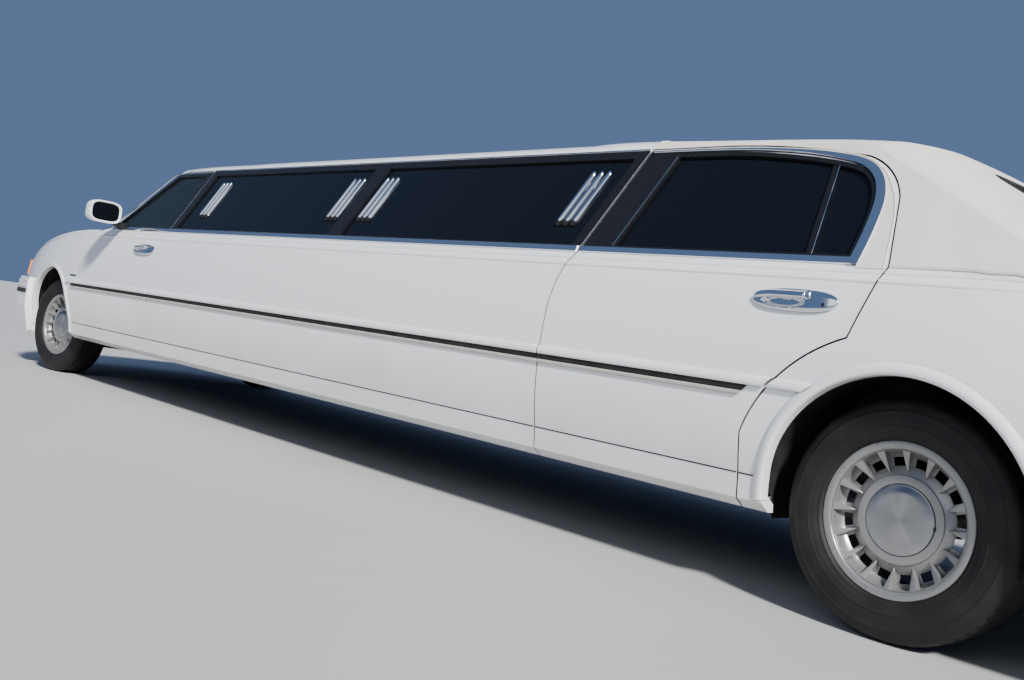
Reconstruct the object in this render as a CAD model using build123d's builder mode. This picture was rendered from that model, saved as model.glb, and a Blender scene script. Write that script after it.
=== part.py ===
"""Stretch limousine, full size, in millimetres: X forward, Y to the left, Z up, ground at Z = 0."""
import os
from math import cos, hypot, radians, sin

from build123d import *

os.makedirs("parts", exist_ok=True)

# Driving sizes of the whole vehicle
stock_wheelbase = 2990
stretch_length = 3302
front_overhang = 1060
rear_overhang = 1419
body_width = 1986
sill_height = 272
moulding_height = 640
belt_height = 1020
rail_height = 1435
belt_half_width = 925
rail_half_width = 735
front_track = 1595
rear_track = 1608

# Panels and gaps
panel_gap = 6
fit_gap = 0.3
skin_wall = 25
edge_skin = 15
edge_step = 30
hinge_step = 140
neighbour_skin = 12
relief_back = 20
relief_ahead = 75
lid_gap = 14
cabin_wall = 45
door_inner_y = 845
glass_depth = 10
glass_thickness = 6

# Wheels and steering
tyre_radius = 336
tyre_width = 225
bead_radius = 203
flange_radius = 215
rim_width = 190
rear_arch_radius = 390
front_arch_radius = 400
steer_at_rest = 8.5
kingpin_y = 735
blade_count = 16

# Places that follow from the driving sizes
wheelbase = stock_wheelbase + stretch_length
overall_length = wheelbase + front_overhang + rear_overhang
nose_x = overall_length / 2
tail_x = -overall_length / 2
front_axle_x = nose_x - front_overhang
rear_axle_x = tail_x + rear_overhang
half_width = body_width / 2
lean_in = (belt_half_width - rail_half_width) / (rail_height - belt_height)
far_out = 1200


def from_front(x):
    """Place along the body, forward of the front axle."""
    return front_axle_x + x


def from_rear(x):
    """Place along the body, forward of the rear axle."""
    return rear_axle_x + x


def export(piece, name):
    """Label a finished piece and write it as one STEP file."""
    piece.part.label = name
    export_step(piece.part, f"parts/{name}.step")


def box_between(low, high):
    """A block from its low corner to its high corner."""
    size = [b - a for a, b in zip(low, high)]
    with BuildPart() as block:
        with Locations(tuple((a + b) / 2 for a, b in zip(low, high))):
            Box(*size)
    return block.part


# Flank of the body, from the sill to the belt
sill_foot_inset = 85
sill_edge_inset = 45
sill_edge_rise = 28
cut_line_height = 375
cut_line_inset = 35
flank_bow = 9
shoulder_inset = 40
shoulder_drop = 45
belt_inset = half_width - belt_half_width


def flank(side, half, belt, sill):
    """One flank as connected lines and arcs, from the sill's foot up to the belt."""
    shoulder = belt - shoulder_drop
    foot = (side * (half - sill_foot_inset), sill)
    edge = (side * (half - sill_edge_inset), sill + sill_edge_rise)
    cut = (side * (half - cut_line_inset), cut_line_height)
    widest = (side * half, moulding_height)
    crease = (side * (half - shoulder_inset), shoulder)
    top = (side * (half - belt_inset), belt)
    Line(foot, edge)
    Line(edge, cut)
    ThreePointArc(cut, (side * (half - flank_bow), (cut_line_height + moulding_height) / 2), widest)
    ThreePointArc(widest, (side * (half - flank_bow), (moulding_height + shoulder) / 2), crease)
    Line(crease, top)
    return foot, top


def body_section(x, half, belt, crown, sill):
    """A whole cross-section of the lower body at one station."""
    with BuildSketch(Plane.YZ.offset(x)) as section:
        with BuildLine():
            foot, top = flank(1, half, belt, sill)
            ThreePointArc(top, (0, crown), (-top[0], top[1]))
            flank(-1, half, belt, sill)
            Line((-foot[0], sill), foot)
        make_face()
    return section.sketch.face()


# Columns: forward of the front axle, half width, belt height, height of the crown at the middle
front_stations = [
    (-820, 993, 1020, 1064),
    (-540, 993, 1018, 1064),
    (0, 984, 985, 1038),
    (460, 950, 915, 972),
    (780, 880, 846, 898),
    (1010, 765, 782, 826),
]
# Columns: forward of the rear axle, half width, belt height, height of the crown at the middle
rear_stations = [
    (-1405, 880, 922, 948),
    (-1230, 918, 956, 986),
    (-950, 955, 986, 1020),
    (-450, 986, 1010, 1042),
    (0, 993, 1020, 1050),
    (520, 993, 1020, 1050),
]


def lower_body(stations, base_x, inset):
    """Smooth lower body through its stations, drawn inward for the inside of its skin."""
    sections = [
        body_section(base_x + x, half - inset, belt - inset, crown - inset, sill_height + inset)
        for x, half, belt, crown in stations
    ]
    with BuildPart() as solid:
        loft(sections=sections)
    return solid.part


def end_outline(x, reach, corner_x, corner_y, shoulder_x, shoulder_y, back_x):
    """Plan of one end of the body: a wide arc across the end and a corner arc each side."""
    mid_x = corner_x * 0.62 + shoulder_x * 0.38
    mid_y = corner_y * 0.38 + shoulder_y * 0.62
    with BuildSketch(Plane.XY) as plan:
        with BuildLine():
            ThreePointArc((x + corner_x, corner_y), (x + reach, 0), (x + corner_x, -corner_y))
            for side in (1, -1):
                corner = (x + corner_x, side * corner_y)
                shoulder = (x + shoulder_x, side * shoulder_y)
                ThreePointArc(corner, (x + mid_x, side * mid_y), shoulder)
                Line(shoulder, (x + shoulder_x, side * far_out))
                Line((x + shoulder_x, side * far_out), (x + back_x, side * far_out))
            Line((x + back_x, far_out), (x + back_x, -far_out))
        make_face()
    return plan.sketch


def nose_plan(inset):
    """Plan of the nose, drawn inward by the inset."""
    return end_outline(front_axle_x, 1003 - inset, 905 - inset, 650, 650 - inset, 945 - inset, -900)


def tail_plan(inset):
    """Plan of the tail, drawn inward by the inset."""
    return end_outline(rear_axle_x, -1395 + inset, -1330 + inset, 700, -1130 + inset, 955 - inset, 600)


def trimmed_body(stations, base_x, plan, inset):
    """Lower body inside its plan outline."""
    with BuildPart() as solid:
        add(lower_body(stations, base_x, inset))
        extrude(plan(inset), amount=far_out, mode=Mode.INTERSECT)
    return solid.part


# Cabin: a ring of glass and pillars that leans in, under a crowned roof
cabin_base_height = 1000
cabin_top_height = 1535


def cabin_plan(height, inset):
    """Plan of the cabin at one height, as straight sides, corner arcs and bowed ends."""
    rise = height - belt_height
    half = belt_half_width - lean_in * rise - inset
    lean_front = -1.64 * rise
    lean_rear = 1.69 * rise
    front_mid = from_front(-505 + lean_front) - inset
    front_corner = from_front(-600 + lean_front) - inset
    front_side = from_front(-800 + 0.8 * lean_front) - inset
    rear_mid = from_rear(-590 + lean_rear) + inset
    rear_corner = from_rear(-560 + lean_rear) + inset
    rear_side = from_rear(-370 + lean_rear) + inset
    with BuildSketch(Plane.XY.offset(height)) as plan:
        with BuildLine():
            ThreePointArc((front_corner, half - 170), (front_mid, 0), (front_corner, -(half - 170)))
            ThreePointArc((rear_corner, half - 190), (rear_mid, 0), (rear_corner, -(half - 190)))
            for side in (1, -1):
                ThreePointArc(
                    (front_corner, side * (half - 170)),
                    (front_corner * 0.6 + front_side * 0.4, side * (half - 62)),
                    (front_side, side * half),
                )
                Line((front_side, side * half), (rear_side, side * half))
                ThreePointArc(
                    (rear_side, side * half),
                    (rear_side * 0.4 + rear_corner * 0.6, side * (half - 55)),
                    (rear_corner, side * (half - 190)),
                )
        make_face()
    return plan.sketch.face()


# Columns: forward of the rear axle, height at the side rail, height of the crown
roof_rear_stations = [
    (-700, 900, 960),
    (-60, 1335, 1392),
    (130, 1378, 1436),
    (460, 1412, 1480),
    (1000, 1433, 1510),
    (1500, 1435, 1515),
]
# Columns: forward of the front axle, height at the side rail, height of the crown
roof_front_stations = [
    (-2300, 1435, 1515),
    (-1800, 1433, 1508),
    (-1350, 1422, 1480),
    (-1050, 1396, 1438),
    (-300, 1250, 1290),
]


def roof_section(x, rail, crown, inset):
    """Everything under the roof at one station: crown, rounded rail and a side outside the cabin."""
    half = rail_half_width + lean_in * (rail_height - rail)
    edge = (half - 62, rail + 38 - inset)
    turn = (half - 18, rail + 22 - inset)
    drop = (half + 14, rail - 16 - inset)
    foot = (far_out, 800)
    with BuildSketch(Plane.YZ.offset(x)) as section:
        with BuildLine():
            ThreePointArc(edge, (0, crown - inset), (-edge[0], edge[1]))
            for side in (1, -1):
                ThreePointArc(
                    (side * edge[0], edge[1]), (side * turn[0], turn[1]), (side * drop[0], drop[1])
                )
                Line((side * drop[0], drop[1]), (side * foot[0], foot[1]))
            Line(foot, (-foot[0], foot[1]))
        make_face()
    return section.sketch.face()


def roof_space(inset):
    """Everything under the roof: a smooth end at the front and rear and a straight middle."""
    rear = [roof_section(from_rear(x), rail, crown, inset) for x, rail, crown in roof_rear_stations]
    front = [roof_section(from_front(x), rail, crown, inset) for x, rail, crown in roof_front_stations]
    middle = from_front(roof_front_stations[0][0]) - from_rear(roof_rear_stations[-1][0])
    with BuildPart() as space:
        loft(sections=rear)
        loft(sections=front)
        extrude(rear[-1], amount=middle, dir=(1, 0, 0))
    return space.part


def cabin(inset):
    """Solid cabin, drawn inward by the inset for its inside or for a layer of glass."""
    side_inset = inset * hypot(1, lean_in)
    heights = (cabin_base_height, cabin_top_height)
    with BuildPart() as solid:
        loft(sections=[cabin_plan(height, side_inset) for height in heights], ruled=True)
        add(roof_space(inset), mode=Mode.INTERSECT)
    return solid.part


def leaning_y(height, depth):
    """Distance from the middle to a plane along the leaning side, at a depth inside it."""
    return belt_half_width - lean_in * (height - belt_height) - depth * hypot(1, lean_in)


def wall_section(side, x):
    """Section of a side wall: flank, leaning window frame and flat inner face."""
    with BuildSketch(Plane.YZ.offset(x)) as section:
        with BuildLine():
            foot, top = flank(side, half_width, belt_height, sill_height)
            ledge = belt_height - cabin_wall / 2
            Polyline(
                top,
                (side * rail_half_width, rail_height),
                (side * leaning_y(rail_height, cabin_wall), rail_height),
                (side * leaning_y(ledge, cabin_wall), ledge),
                (side * door_inner_y, ledge),
                (side * door_inner_y, sill_height + sill_edge_rise),
                foot,
            )
        make_face()
    return section.sketch


def core_section(side, x, skin):
    """Section of everything inside the outer skin of a side wall."""
    with BuildSketch(Plane.YZ.offset(x)) as section:
        with BuildLine():
            foot, top = flank(side, half_width - skin, belt_height, sill_height)
            inner = side * (door_inner_y - 300)
            Polyline(
                top,
                (side * leaning_y(rail_height + skin, skin), rail_height + skin),
                (inner, rail_height + skin),
                (inner, sill_height - skin),
                (foot[0], sill_height - skin),
                foot,
            )
        make_face()
    return section.sketch


def side_outline(side, base_x, path, grow=0):
    """Closed outline seen from the side. A row of two is a straight run, a row of four an arc."""
    with BuildSketch(Plane.XZ.offset(-side * 600)) as sketch:
        with BuildLine():
            start = path[-1][:2]
            for row in path:
                ends = (base_x + start[0], start[1]), (base_x + row[0], row[1])
                if len(row) == 4:
                    ThreePointArc(ends[0], (base_x + row[2], row[3]), ends[1])
                else:
                    Line(*ends)
                start = row[:2]
        make_face()
        if grow:
            offset(amount=grow, kind=Kind.INTERSECTION)
    return sketch.sketch


def side_prism(side, base_x, path, grow=0):
    """Outline carried out through the side of the body."""
    with BuildPart() as prism:
        extrude(side_outline(side, base_x, path, grow), amount=far_out - 600, dir=(0, side, 0))
    return prism.part


# Door and window outlines, seen from the side. Columns: forward of the axle, height, arc's middle point
front_door_seam = -547
front_door_path = [
    (front_door_seam, 230),
    (front_door_seam, 880),
    (-640, 1012, -566, 962),
    (-790, 1034),
    (-1290, 1396),
    (-1380, 1424, -1328, 1415),
    (-1440, 1429),
    (-1762, 1429),
    (-1637, 1020),
    (-1622, 860, -1626, 940),
    (-1622, 230),
]
front_window_path = [
    (-852, 1048),
    (-1318, 1388),
    (-1400, 1400, -1352, 1399),
    (-1698, 1400),
    (-1590, 1048),
]
rear_door_seam = 1345
rear_door_path = [
    (478, 230),
    (478, 499),
    (175, 812, 365, 685),
    (112, 1020),
    (158, 1235),
    (300, 1372, 212, 1318),
    (820, 1429, 560, 1412),
    (1165, 1429),
    (1290, 1022),
    (rear_door_seam, 760, 1334, 900),
    (rear_door_seam, 230),
]
rear_window_path = [
    (1135, 1048),
    (238, 1048),
    (230, 1205),
    (330, 1335, 258, 1288),
    (800, 1398, 560, 1378),
    (1027, 1400),
]
# Centre windows. Columns: forward of the rear axle at the sill of the window, for its rear and front edge
window_lean = 0.307
window_foot = 1048
window_head = 1400
centre_windows = [
    (1335, 2853),
    (2953, 4580),
]


def centre_window_path(rear_edge, front_edge):
    """A centre window leans back at both ends."""
    back = window_lean * (window_head - window_foot)
    return [
        (rear_edge, window_foot),
        (rear_edge - back, window_head),
        (front_edge - back, window_head),
        (front_edge, window_foot),
    ]


def glass_pane(side, base_x, path):
    """A pane that lies along the leaning side, a fit inside its opening."""
    depths = (glass_depth, glass_depth + glass_thickness)
    reach = from_front(0) - from_rear(0)
    with BuildPart() as pane:
        with BuildSketch(Plane.YZ.offset(from_rear(0))):
            with BuildLine():
                Polyline(
                    *[(side * leaning_y(rail_height, depth), rail_height) for depth in depths],
                    *[(side * leaning_y(belt_height, depth), belt_height) for depth in reversed(depths)],
                    close=True,
                )
            make_face()
        extrude(amount=reach)
        add(side_prism(side, base_x, path, -fit_gap), mode=Mode.INTERSECT)
    return pane


def side_wall(side, rear_x, front_x):
    """A stretch of side wall."""
    with BuildPart() as wall:
        extrude(wall_section(side, rear_x), amount=front_x - rear_x, dir=(1, 0, 0))
    return wall.part


def side_core(side, rear_x, front_x, skin):
    """What lies inside the outer skin along a stretch of side wall."""
    with BuildPart() as core:
        extrude(core_section(side, rear_x, skin), amount=front_x - rear_x, dir=(1, 0, 0))
    return core.part


# Door hinges: two straps on each door turn on the pins of a post inside the body
hinge_setback = 100
hinge_y = 938
hinge_bore = 8
hinge_eye = 16
hinge_heights = (450, 850)
strap_height = 24


def hinge_round(side, seam_x, low, height, radius):
    """An upright round on a door's hinge axis."""
    with BuildPart() as turned:
        with BuildSketch(Plane.XY.offset(low)):
            with Locations((seam_x - hinge_setback, side * hinge_y)):
                Circle(radius)
        extrude(amount=height)
    return turned.part


def side_box(side, low, high):
    """A block given for the left side, or its mirror image on the right."""
    ys = sorted((side * low[1], side * high[1]))
    return box_between((low[0], ys[0], low[2]), (high[0], ys[1], high[2]))


def door_straps(side, seam_x):
    """The two straps that carry a door on its pins."""
    pin_x = seam_x - hinge_setback
    with BuildPart() as straps:
        for low in hinge_heights:
            add(side_box(
                side,
                (seam_x - hinge_step - 10, hinge_y - hinge_eye, low),
                (pin_x, hinge_y + hinge_eye, low + strap_height),
            ))
            add(hinge_round(side, seam_x, low, strap_height, hinge_eye))
            add(hinge_round(side, seam_x, low, strap_height, hinge_bore), mode=Mode.SUBTRACT)
    return straps.part


def door(side, base_x, path, window_path, seam):
    """A door as thick as its wall, with a thin outer edge that overlaps the opening."""
    xs = [row[0] for row in path]
    rear_x = base_x + min(xs) - 50
    front_x = base_x + max(xs) + 50
    with BuildPart() as edge:
        add(side_prism(side, base_x, path, 1))
        add(side_prism(side, base_x, path, -edge_step), mode=Mode.SUBTRACT)
        with BuildSketch(Plane.XZ.offset(-side * 600)):
            with Locations((base_x + seam - hinge_step / 2, belt_height / 2)):
                Rectangle(hinge_step, belt_height - shoulder_drop)
        extrude(amount=600, dir=(0, side, 0))
        add(side_core(side, rear_x, front_x, edge_skin), mode=Mode.INTERSECT)
    with BuildPart() as panel:
        add(side_wall(side, rear_x, front_x))
        add(side_prism(side, base_x, path), mode=Mode.INTERSECT)
        add(edge.part, mode=Mode.SUBTRACT)
        add(side_prism(side, base_x, window_path), mode=Mode.SUBTRACT)
        add(door_straps(side, base_x + seam))
    return panel


def hinge_relief(side, seam_x):
    """Room inside the thin edge next to a door's hinged edge."""
    with BuildPart() as relief:
        add(side_core(side, seam_x - relief_back, seam_x + relief_ahead, neighbour_skin))
        with BuildSketch(Plane.XY.offset(0)):
            with Locations((seam_x, 0)):
                Rectangle(400, 3000)
        extrude(amount=belt_height - shoulder_drop + panel_gap, mode=Mode.INTERSECT)
    return relief.part


# Body shells
front_outer = trimmed_body(front_stations, front_axle_x, nose_plan, 0)
front_inner = trimmed_body(front_stations, front_axle_x, nose_plan, skin_wall)
rear_outer = trimmed_body(rear_stations, rear_axle_x, tail_plan, 0)
rear_inner = trimmed_body(rear_stations, rear_axle_x, tail_plan, skin_wall)
cabin_outer = cabin(0)
cabin_inner = cabin(cabin_wall)
sides = {"left": 1, "right": -1}

# Hood and trunk lid openings, seen from above
hood_rear_x = from_front(-440)
hood_low = 790
lid_front_x = from_rear(-655)
lid_low = 890
lid_face_low = 700
lid_face_half = 552
bumper_top = 640
front_bumper_back = 430
rear_bumper_back = -440
lamp_low = 646
lamp_top = 784


def hood_outline(grow):
    """The hood from above."""
    rear = hood_rear_x - (lid_gap if grow else 0)
    rows = [
        (rear, 785 + grow),
        (from_front(0), 775 + grow),
        (from_front(600), 700 + grow),
        (nose_x + 60, 600 + grow),
    ]
    with BuildSketch(Plane.XY.offset(hood_low - grow)) as outline:
        with BuildLine():
            Polyline(*rows, *[(x, -y) for x, y in reversed(rows)], close=True)
        make_face()
    return outline.sketch


def hood_space(grow):
    """All that the hood takes up, with a gap round it when grown."""
    with BuildPart() as space:
        extrude(hood_outline(grow), amount=400)
    return space.part


def lid_space(grow):
    """All that the trunk lid takes up: its top and, lower down, its rear face."""
    front = lid_front_x + (lid_gap if grow else 0)
    back = tail_x - 80
    with BuildPart() as space:
        with BuildSketch(Plane.XY.offset(lid_low - grow)):
            with Locations(((front + back) / 2, 0)):
                Rectangle(front - back, 2 * (680 + grow))
        extrude(amount=300)
        with BuildSketch(Plane.XY.offset(lid_face_low - grow)):
            with Locations((from_rear(-1390), 0)):
                Rectangle(180, 2 * (lid_face_half + grow))
        extrude(amount=lid_low - lid_face_low + 20)
    return space.part


def arch(x, radius):
    """The round of a wheel arch, right through the body."""
    with BuildPart() as cut:
        with BuildSketch(Plane.XZ.offset(-far_out)):
            with Locations((x, tyre_radius)):
                Circle(radius)
        extrude(amount=2 * far_out)
    return cut.part


with BuildPart() as front_shell:
    add(front_outer)
    add(front_inner, mode=Mode.SUBTRACT)
    add(box_between((from_front(-900), -880, 200), (nose_x, 880, 300)), mode=Mode.SUBTRACT)
    add(box_between((from_front(front_bumper_back), -far_out, 200), (nose_x, far_out, bumper_top)), mode=Mode.SUBTRACT)
    add(box_between((from_front(-900), -840, 300), (from_front(-700), 840, 1200)), mode=Mode.SUBTRACT)

# Hood and lid hinges: a tongue on the body reaches into a slot in the lid's edge, with a pin across it
lid_bore = 4
lid_pin_reach = 30
slot_half = 15
hood_pin = (from_front(-432), 1047)
hood_hinge_y = 250
lid_pin = (from_rear(-663), 1019)
lid_hinge_y = 150


def hinge_rod(x, z, middle_y, radius, reach):
    """A round along Y on the hinge axis of a lid."""
    with BuildPart() as rod:
        with BuildSketch(Plane.XZ.offset(-middle_y - reach)):
            with Locations((x, z)):
                Circle(radius)
        extrude(amount=2 * reach)
    return rod.part


def lid_slots(pin, middle_y, back):
    """What a lid leaves open for its two hinges."""
    edge_x = pin[0] - back * 12
    far_x = pin[0] + back * 12
    with BuildPart() as slots:
        for side in (1, -1):
            y = side * middle_y
            add(box_between(
                (min(edge_x, far_x), y - slot_half, pin[1] - 40),
                (max(edge_x, far_x), y + slot_half, pin[1] + 40),
            ))
            add(hinge_rod(*pin, y, lid_bore, lid_pin_reach + 1))
    return slots.part


def lid_tongues(pin, middle_y, back):
    """The tongues and pins that carry a lid."""
    far_x = pin[0] - back * 30
    near_x = pin[0] + back * 6
    with BuildPart() as tongues:
        for side in (1, -1):
            y = side * middle_y
            add(box_between(
                (min(near_x, far_x), y - slot_half + 3, pin[1] - 5),
                (max(near_x, far_x), y + slot_half - 3, pin[1] + 5),
            ))
            add(hinge_rod(*pin, y, lid_bore - 0.06, lid_pin_reach))
    return tongues.part


with BuildPart() as hood:
    add(front_shell.part)
    add(hood_space(0), mode=Mode.INTERSECT)
    add(lid_slots(hood_pin, hood_hinge_y, 1), mode=Mode.SUBTRACT)
export(hood, "hood")


def lamp_outline(inner, outer, low, top, x):
    """Front or rear view of a pair of lamps."""
    with BuildSketch(Plane.YZ.offset(x)) as outline:
        for side in (1, -1):
            with Locations((side * (inner + outer) / 2, (low + top) / 2)):
                Rectangle(outer - inner, top - low)
    return outline.sketch


lamp_inner_y = 322
grille_half = 300
lamp_back_x = from_front(770)
with BuildPart() as lamp_openings:
    extrude(lamp_outline(lamp_inner_y, far_out, lamp_low, lamp_top, lamp_back_x), amount=400)

with BuildPart() as front_fenders:
    add(front_shell.part)
    add(hood_space(panel_gap), mode=Mode.SUBTRACT)
    for side in sides.values():
        add(side_prism(side, front_axle_x, front_door_path, panel_gap), mode=Mode.SUBTRACT)
        add(hinge_relief(side, from_front(front_door_seam)), mode=Mode.SUBTRACT)
    add(arch(front_axle_x, front_arch_radius), mode=Mode.SUBTRACT)
    add(lamp_openings.part, mode=Mode.SUBTRACT)
    add(box_between((lamp_back_x, -grille_half, 600), (nose_x, grille_half, lamp_top)), mode=Mode.SUBTRACT)
    add(lid_tongues(hood_pin, hood_hinge_y, 1))
export(front_fenders, "front_fenders")

with BuildPart() as headlamps:
    add(front_outer)
    add(trimmed_body(front_stations, front_axle_x, nose_plan, 70), mode=Mode.SUBTRACT)
    add(lamp_openings.part, mode=Mode.INTERSECT)
export(headlamps, "headlamps")

rear_lamp_inner_y = 562
rear_lamp_low = 700
rear_lamp_top = 862
with BuildPart() as rear_lamp_openings:
    extrude(
        lamp_outline(rear_lamp_inner_y, far_out, rear_lamp_low, rear_lamp_top, from_rear(-1240)),
        amount=-400,
    )

with BuildPart() as rear_shell:
    add(rear_outer)
    add(rear_inner, mode=Mode.SUBTRACT)
    add(box_between((tail_x, -880, 200), (from_rear(600), 880, 300)), mode=Mode.SUBTRACT)
    add(box_between((tail_x, -far_out, 200), (from_rear(rear_bumper_back), far_out, bumper_top)), mode=Mode.SUBTRACT)
    add(box_between((from_rear(-180), -860, 300), (from_rear(600), 860, 1200)), mode=Mode.SUBTRACT)

# Pad for a number plate on the lid's rear face, with the four standard holes
plate_face_x = from_rear(-1400)
plate_height = 795
plate_hole_across = 177.8
plate_hole_up = 120.65
plate_hole_radius = 3.5
with BuildPart() as trunk_lid:
    add(rear_shell.part)
    add(lid_space(0), mode=Mode.INTERSECT)
    add(lid_slots(lid_pin, lid_hinge_y, -1), mode=Mode.SUBTRACT)
    add(box_between((plate_face_x, -160, plate_height - 82), (from_rear(-1380), 160, plate_height + 82)))
    with BuildSketch(Plane.YZ.offset(plate_face_x)):
        with Locations((0, plate_height)):
            with GridLocations(plate_hole_across, plate_hole_up, 2, 2):
                Circle(plate_hole_radius)
    extrude(amount=60, mode=Mode.SUBTRACT)
export(trunk_lid, "trunk_lid")

with BuildPart() as rear_quarters:
    add(rear_shell.part)
    add(lid_space(panel_gap), mode=Mode.SUBTRACT)
    for side in sides.values():
        add(side_prism(side, rear_axle_x, rear_door_path, panel_gap), mode=Mode.SUBTRACT)
    add(arch(rear_axle_x, rear_arch_radius), mode=Mode.SUBTRACT)
    add(rear_lamp_openings.part, mode=Mode.SUBTRACT)
    add(lid_tongues(lid_pin, lid_hinge_y, -1))
export(rear_quarters, "rear_quarters")

with BuildPart() as tail_lamps:
    add(rear_outer)
    add(trimmed_body(rear_stations, rear_axle_x, tail_plan, 60), mode=Mode.SUBTRACT)
    add(rear_lamp_openings.part, mode=Mode.INTERSECT)
export(tail_lamps, "tail_lamps")

# Roof, pillars and glass
roof_split_x = from_rear(1165)


def screen_outline(x, foot_half, foot, head_half, head, inset):
    """Windscreen or backlight seen from its end of the body."""
    with BuildSketch(Plane.YZ.offset(x)) as outline:
        with BuildLine():
            Polyline((foot_half, foot), (head_half, head), (-head_half, head), (-foot_half, foot), close=True)
        make_face()
        fillet(outline.vertices(), 45)
        if inset:
            offset(amount=-inset)
    return outline.sketch


def windscreen_space(inset):
    """Room of the windscreen in the cabin's shell."""
    with BuildPart() as space:
        extrude(screen_outline(from_front(-1330), 800, 1052, 640, 1402, inset), amount=1000)
    return space.part


def backlight_space(inset):
    """Room of the backlight in the cabin's shell."""
    with BuildPart() as space:
        extrude(screen_outline(from_rear(60), 680, 1072, 590, 1345, inset), amount=-800)
    return space.part


with BuildPart() as cabin_shell:
    add(cabin_outer)
    add(cabin_inner, mode=Mode.SUBTRACT)
    for side in sides.values():
        add(side_prism(side, front_axle_x, front_door_path, panel_gap), mode=Mode.SUBTRACT)
        add(side_prism(side, rear_axle_x, rear_door_path, panel_gap), mode=Mode.SUBTRACT)
        add(
            side_prism(
                side,
                0,
                [
                    (from_rear(1110), 900),
                    (from_rear(1110), rail_height),
                    (from_front(-1700), rail_height),
                    (from_front(-1580), 900),
                ],
            ),
            mode=Mode.SUBTRACT,
        )
    add(windscreen_space(0), mode=Mode.SUBTRACT)
    add(backlight_space(0), mode=Mode.SUBTRACT)
    add(front_outer, mode=Mode.SUBTRACT)
    add(rear_outer, mode=Mode.SUBTRACT)

with BuildPart() as roof_panel:
    add(cabin_shell.part)
    add(box_between((roof_split_x, -far_out, 900), (nose_x, far_out, 1600)), mode=Mode.INTERSECT)
export(roof_panel, "roof_panel")

with BuildPart() as padded_top:
    add(cabin_shell.part)
    add(box_between((tail_x, -far_out, 900), (roof_split_x, far_out, 1600)), mode=Mode.INTERSECT)
export(padded_top, "padded_top")

with BuildPart() as glass_layer:
    add(cabin(glass_depth))
    add(cabin(glass_depth + glass_thickness), mode=Mode.SUBTRACT)

with BuildPart() as windscreen:
    add(glass_layer.part)
    add(windscreen_space(fit_gap), mode=Mode.INTERSECT)
    add(front_outer, mode=Mode.SUBTRACT)
export(windscreen, "windscreen")

with BuildPart() as backlight:
    add(glass_layer.part)
    add(backlight_space(fit_gap), mode=Mode.INTERSECT)
export(backlight, "backlight")

# Side walls and doors
with BuildPart() as centre_sides:
    for side in sides.values():
        rear_x = from_rear(1170)
        front_x = from_front(-1630)
        add(side_wall(side, rear_x, front_x))
        add(side_prism(side, front_axle_x, front_door_path, panel_gap), mode=Mode.SUBTRACT)
        add(side_prism(side, rear_axle_x, rear_door_path, panel_gap), mode=Mode.SUBTRACT)
        add(hinge_relief(side, from_rear(rear_door_seam)), mode=Mode.SUBTRACT)
        for rear_edge, front_edge in centre_windows:
            path = centre_window_path(rear_edge, front_edge)
            add(side_prism(side, rear_axle_x, path), mode=Mode.SUBTRACT)
export(centre_sides, "centre_sides")

with BuildPart() as centre_glass:
    for side in sides.values():
        for rear_edge, front_edge in centre_windows:
            add(glass_pane(side, rear_axle_x, centre_window_path(rear_edge, front_edge)).part)
export(centre_glass, "centre_glass")

# Columns: name, axle that the outline is measured from, door outline, window outline, seam at the hinges
doors = [
    ("front_door", front_axle_x, front_door_path, front_window_path, front_door_seam),
    ("rear_door", rear_axle_x, rear_door_path, rear_window_path, rear_door_seam),
]
for name, base_x, path, window_path, seam in doors:
    for side_name, side in sides.items():
        export(door(side, base_x, path, window_path, seam), f"{name}_{side_name}")
        export(glass_pane(side, base_x, window_path), f"{name}_glass_{side_name}")

# Bumpers: a broad beam round each end, drawn in at its foot and rounded at its top
bumper_foot = 240
bumper_wall = 75


def front_bumper_plan(inset, height, back):
    """Outline of the front bumper from above."""
    with BuildSketch(Plane.XY.offset(height)) as plan:
        with BuildLine():
            ThreePointArc(
                (from_front(930) - inset, 640), (nose_x - inset, 0), (from_front(930) - inset, -640)
            )
            for side in (1, -1):
                ThreePointArc(
                    (from_front(930) - inset, side * 640),
                    (from_front(862) - inset * 0.8, side * (835 - inset * 0.6)),
                    (from_front(700), side * (962 - inset)),
                )
                Line((from_front(700), side * (962 - inset)), (back, side * (990 - inset)))
            Line((back, 990 - inset), (back, inset - 990))
        make_face()
    return plan.sketch.face()


def rear_bumper_plan(inset, height, back):
    """Outline of the rear bumper from above."""
    with BuildSketch(Plane.XY.offset(height)) as plan:
        with BuildLine():
            ThreePointArc(
                (from_rear(-1350) + inset, 690), (tail_x + inset, 0), (from_rear(-1350) + inset, -690)
            )
            for side in (1, -1):
                ThreePointArc(
                    (from_rear(-1350) + inset, side * 690),
                    (from_rear(-1290) + inset * 0.8, side * (872 - inset * 0.6)),
                    (from_rear(-1140), side * (972 - inset)),
                )
                Line((from_rear(-1140), side * (972 - inset)), (back, side * (990 - inset)))
            Line((back, 990 - inset), (back, inset - 990))
        make_face()
    return plan.sketch.face()


def bumper(plan, back, inner_back):
    """A bumper beam, hollow behind, between its foot and its top."""
    levels = [(40, bumper_foot), (0, 430), (0, bumper_top - 30), (16, bumper_top)]
    with BuildPart() as beam:
        for low, high in zip(levels, levels[1:]):
            loft(sections=[plan(low[0], low[1], back), plan(high[0], high[1], back)], ruled=True)
        extrude(plan(bumper_wall, bumper_foot, inner_back), amount=bumper_top - bumper_foot, mode=Mode.SUBTRACT)
    return beam


export(bumper(front_bumper_plan, from_front(front_bumper_back), from_front(380)), "front_bumper")
export(bumper(rear_bumper_plan, from_rear(rear_bumper_back), from_rear(-390)), "rear_bumper")

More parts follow.
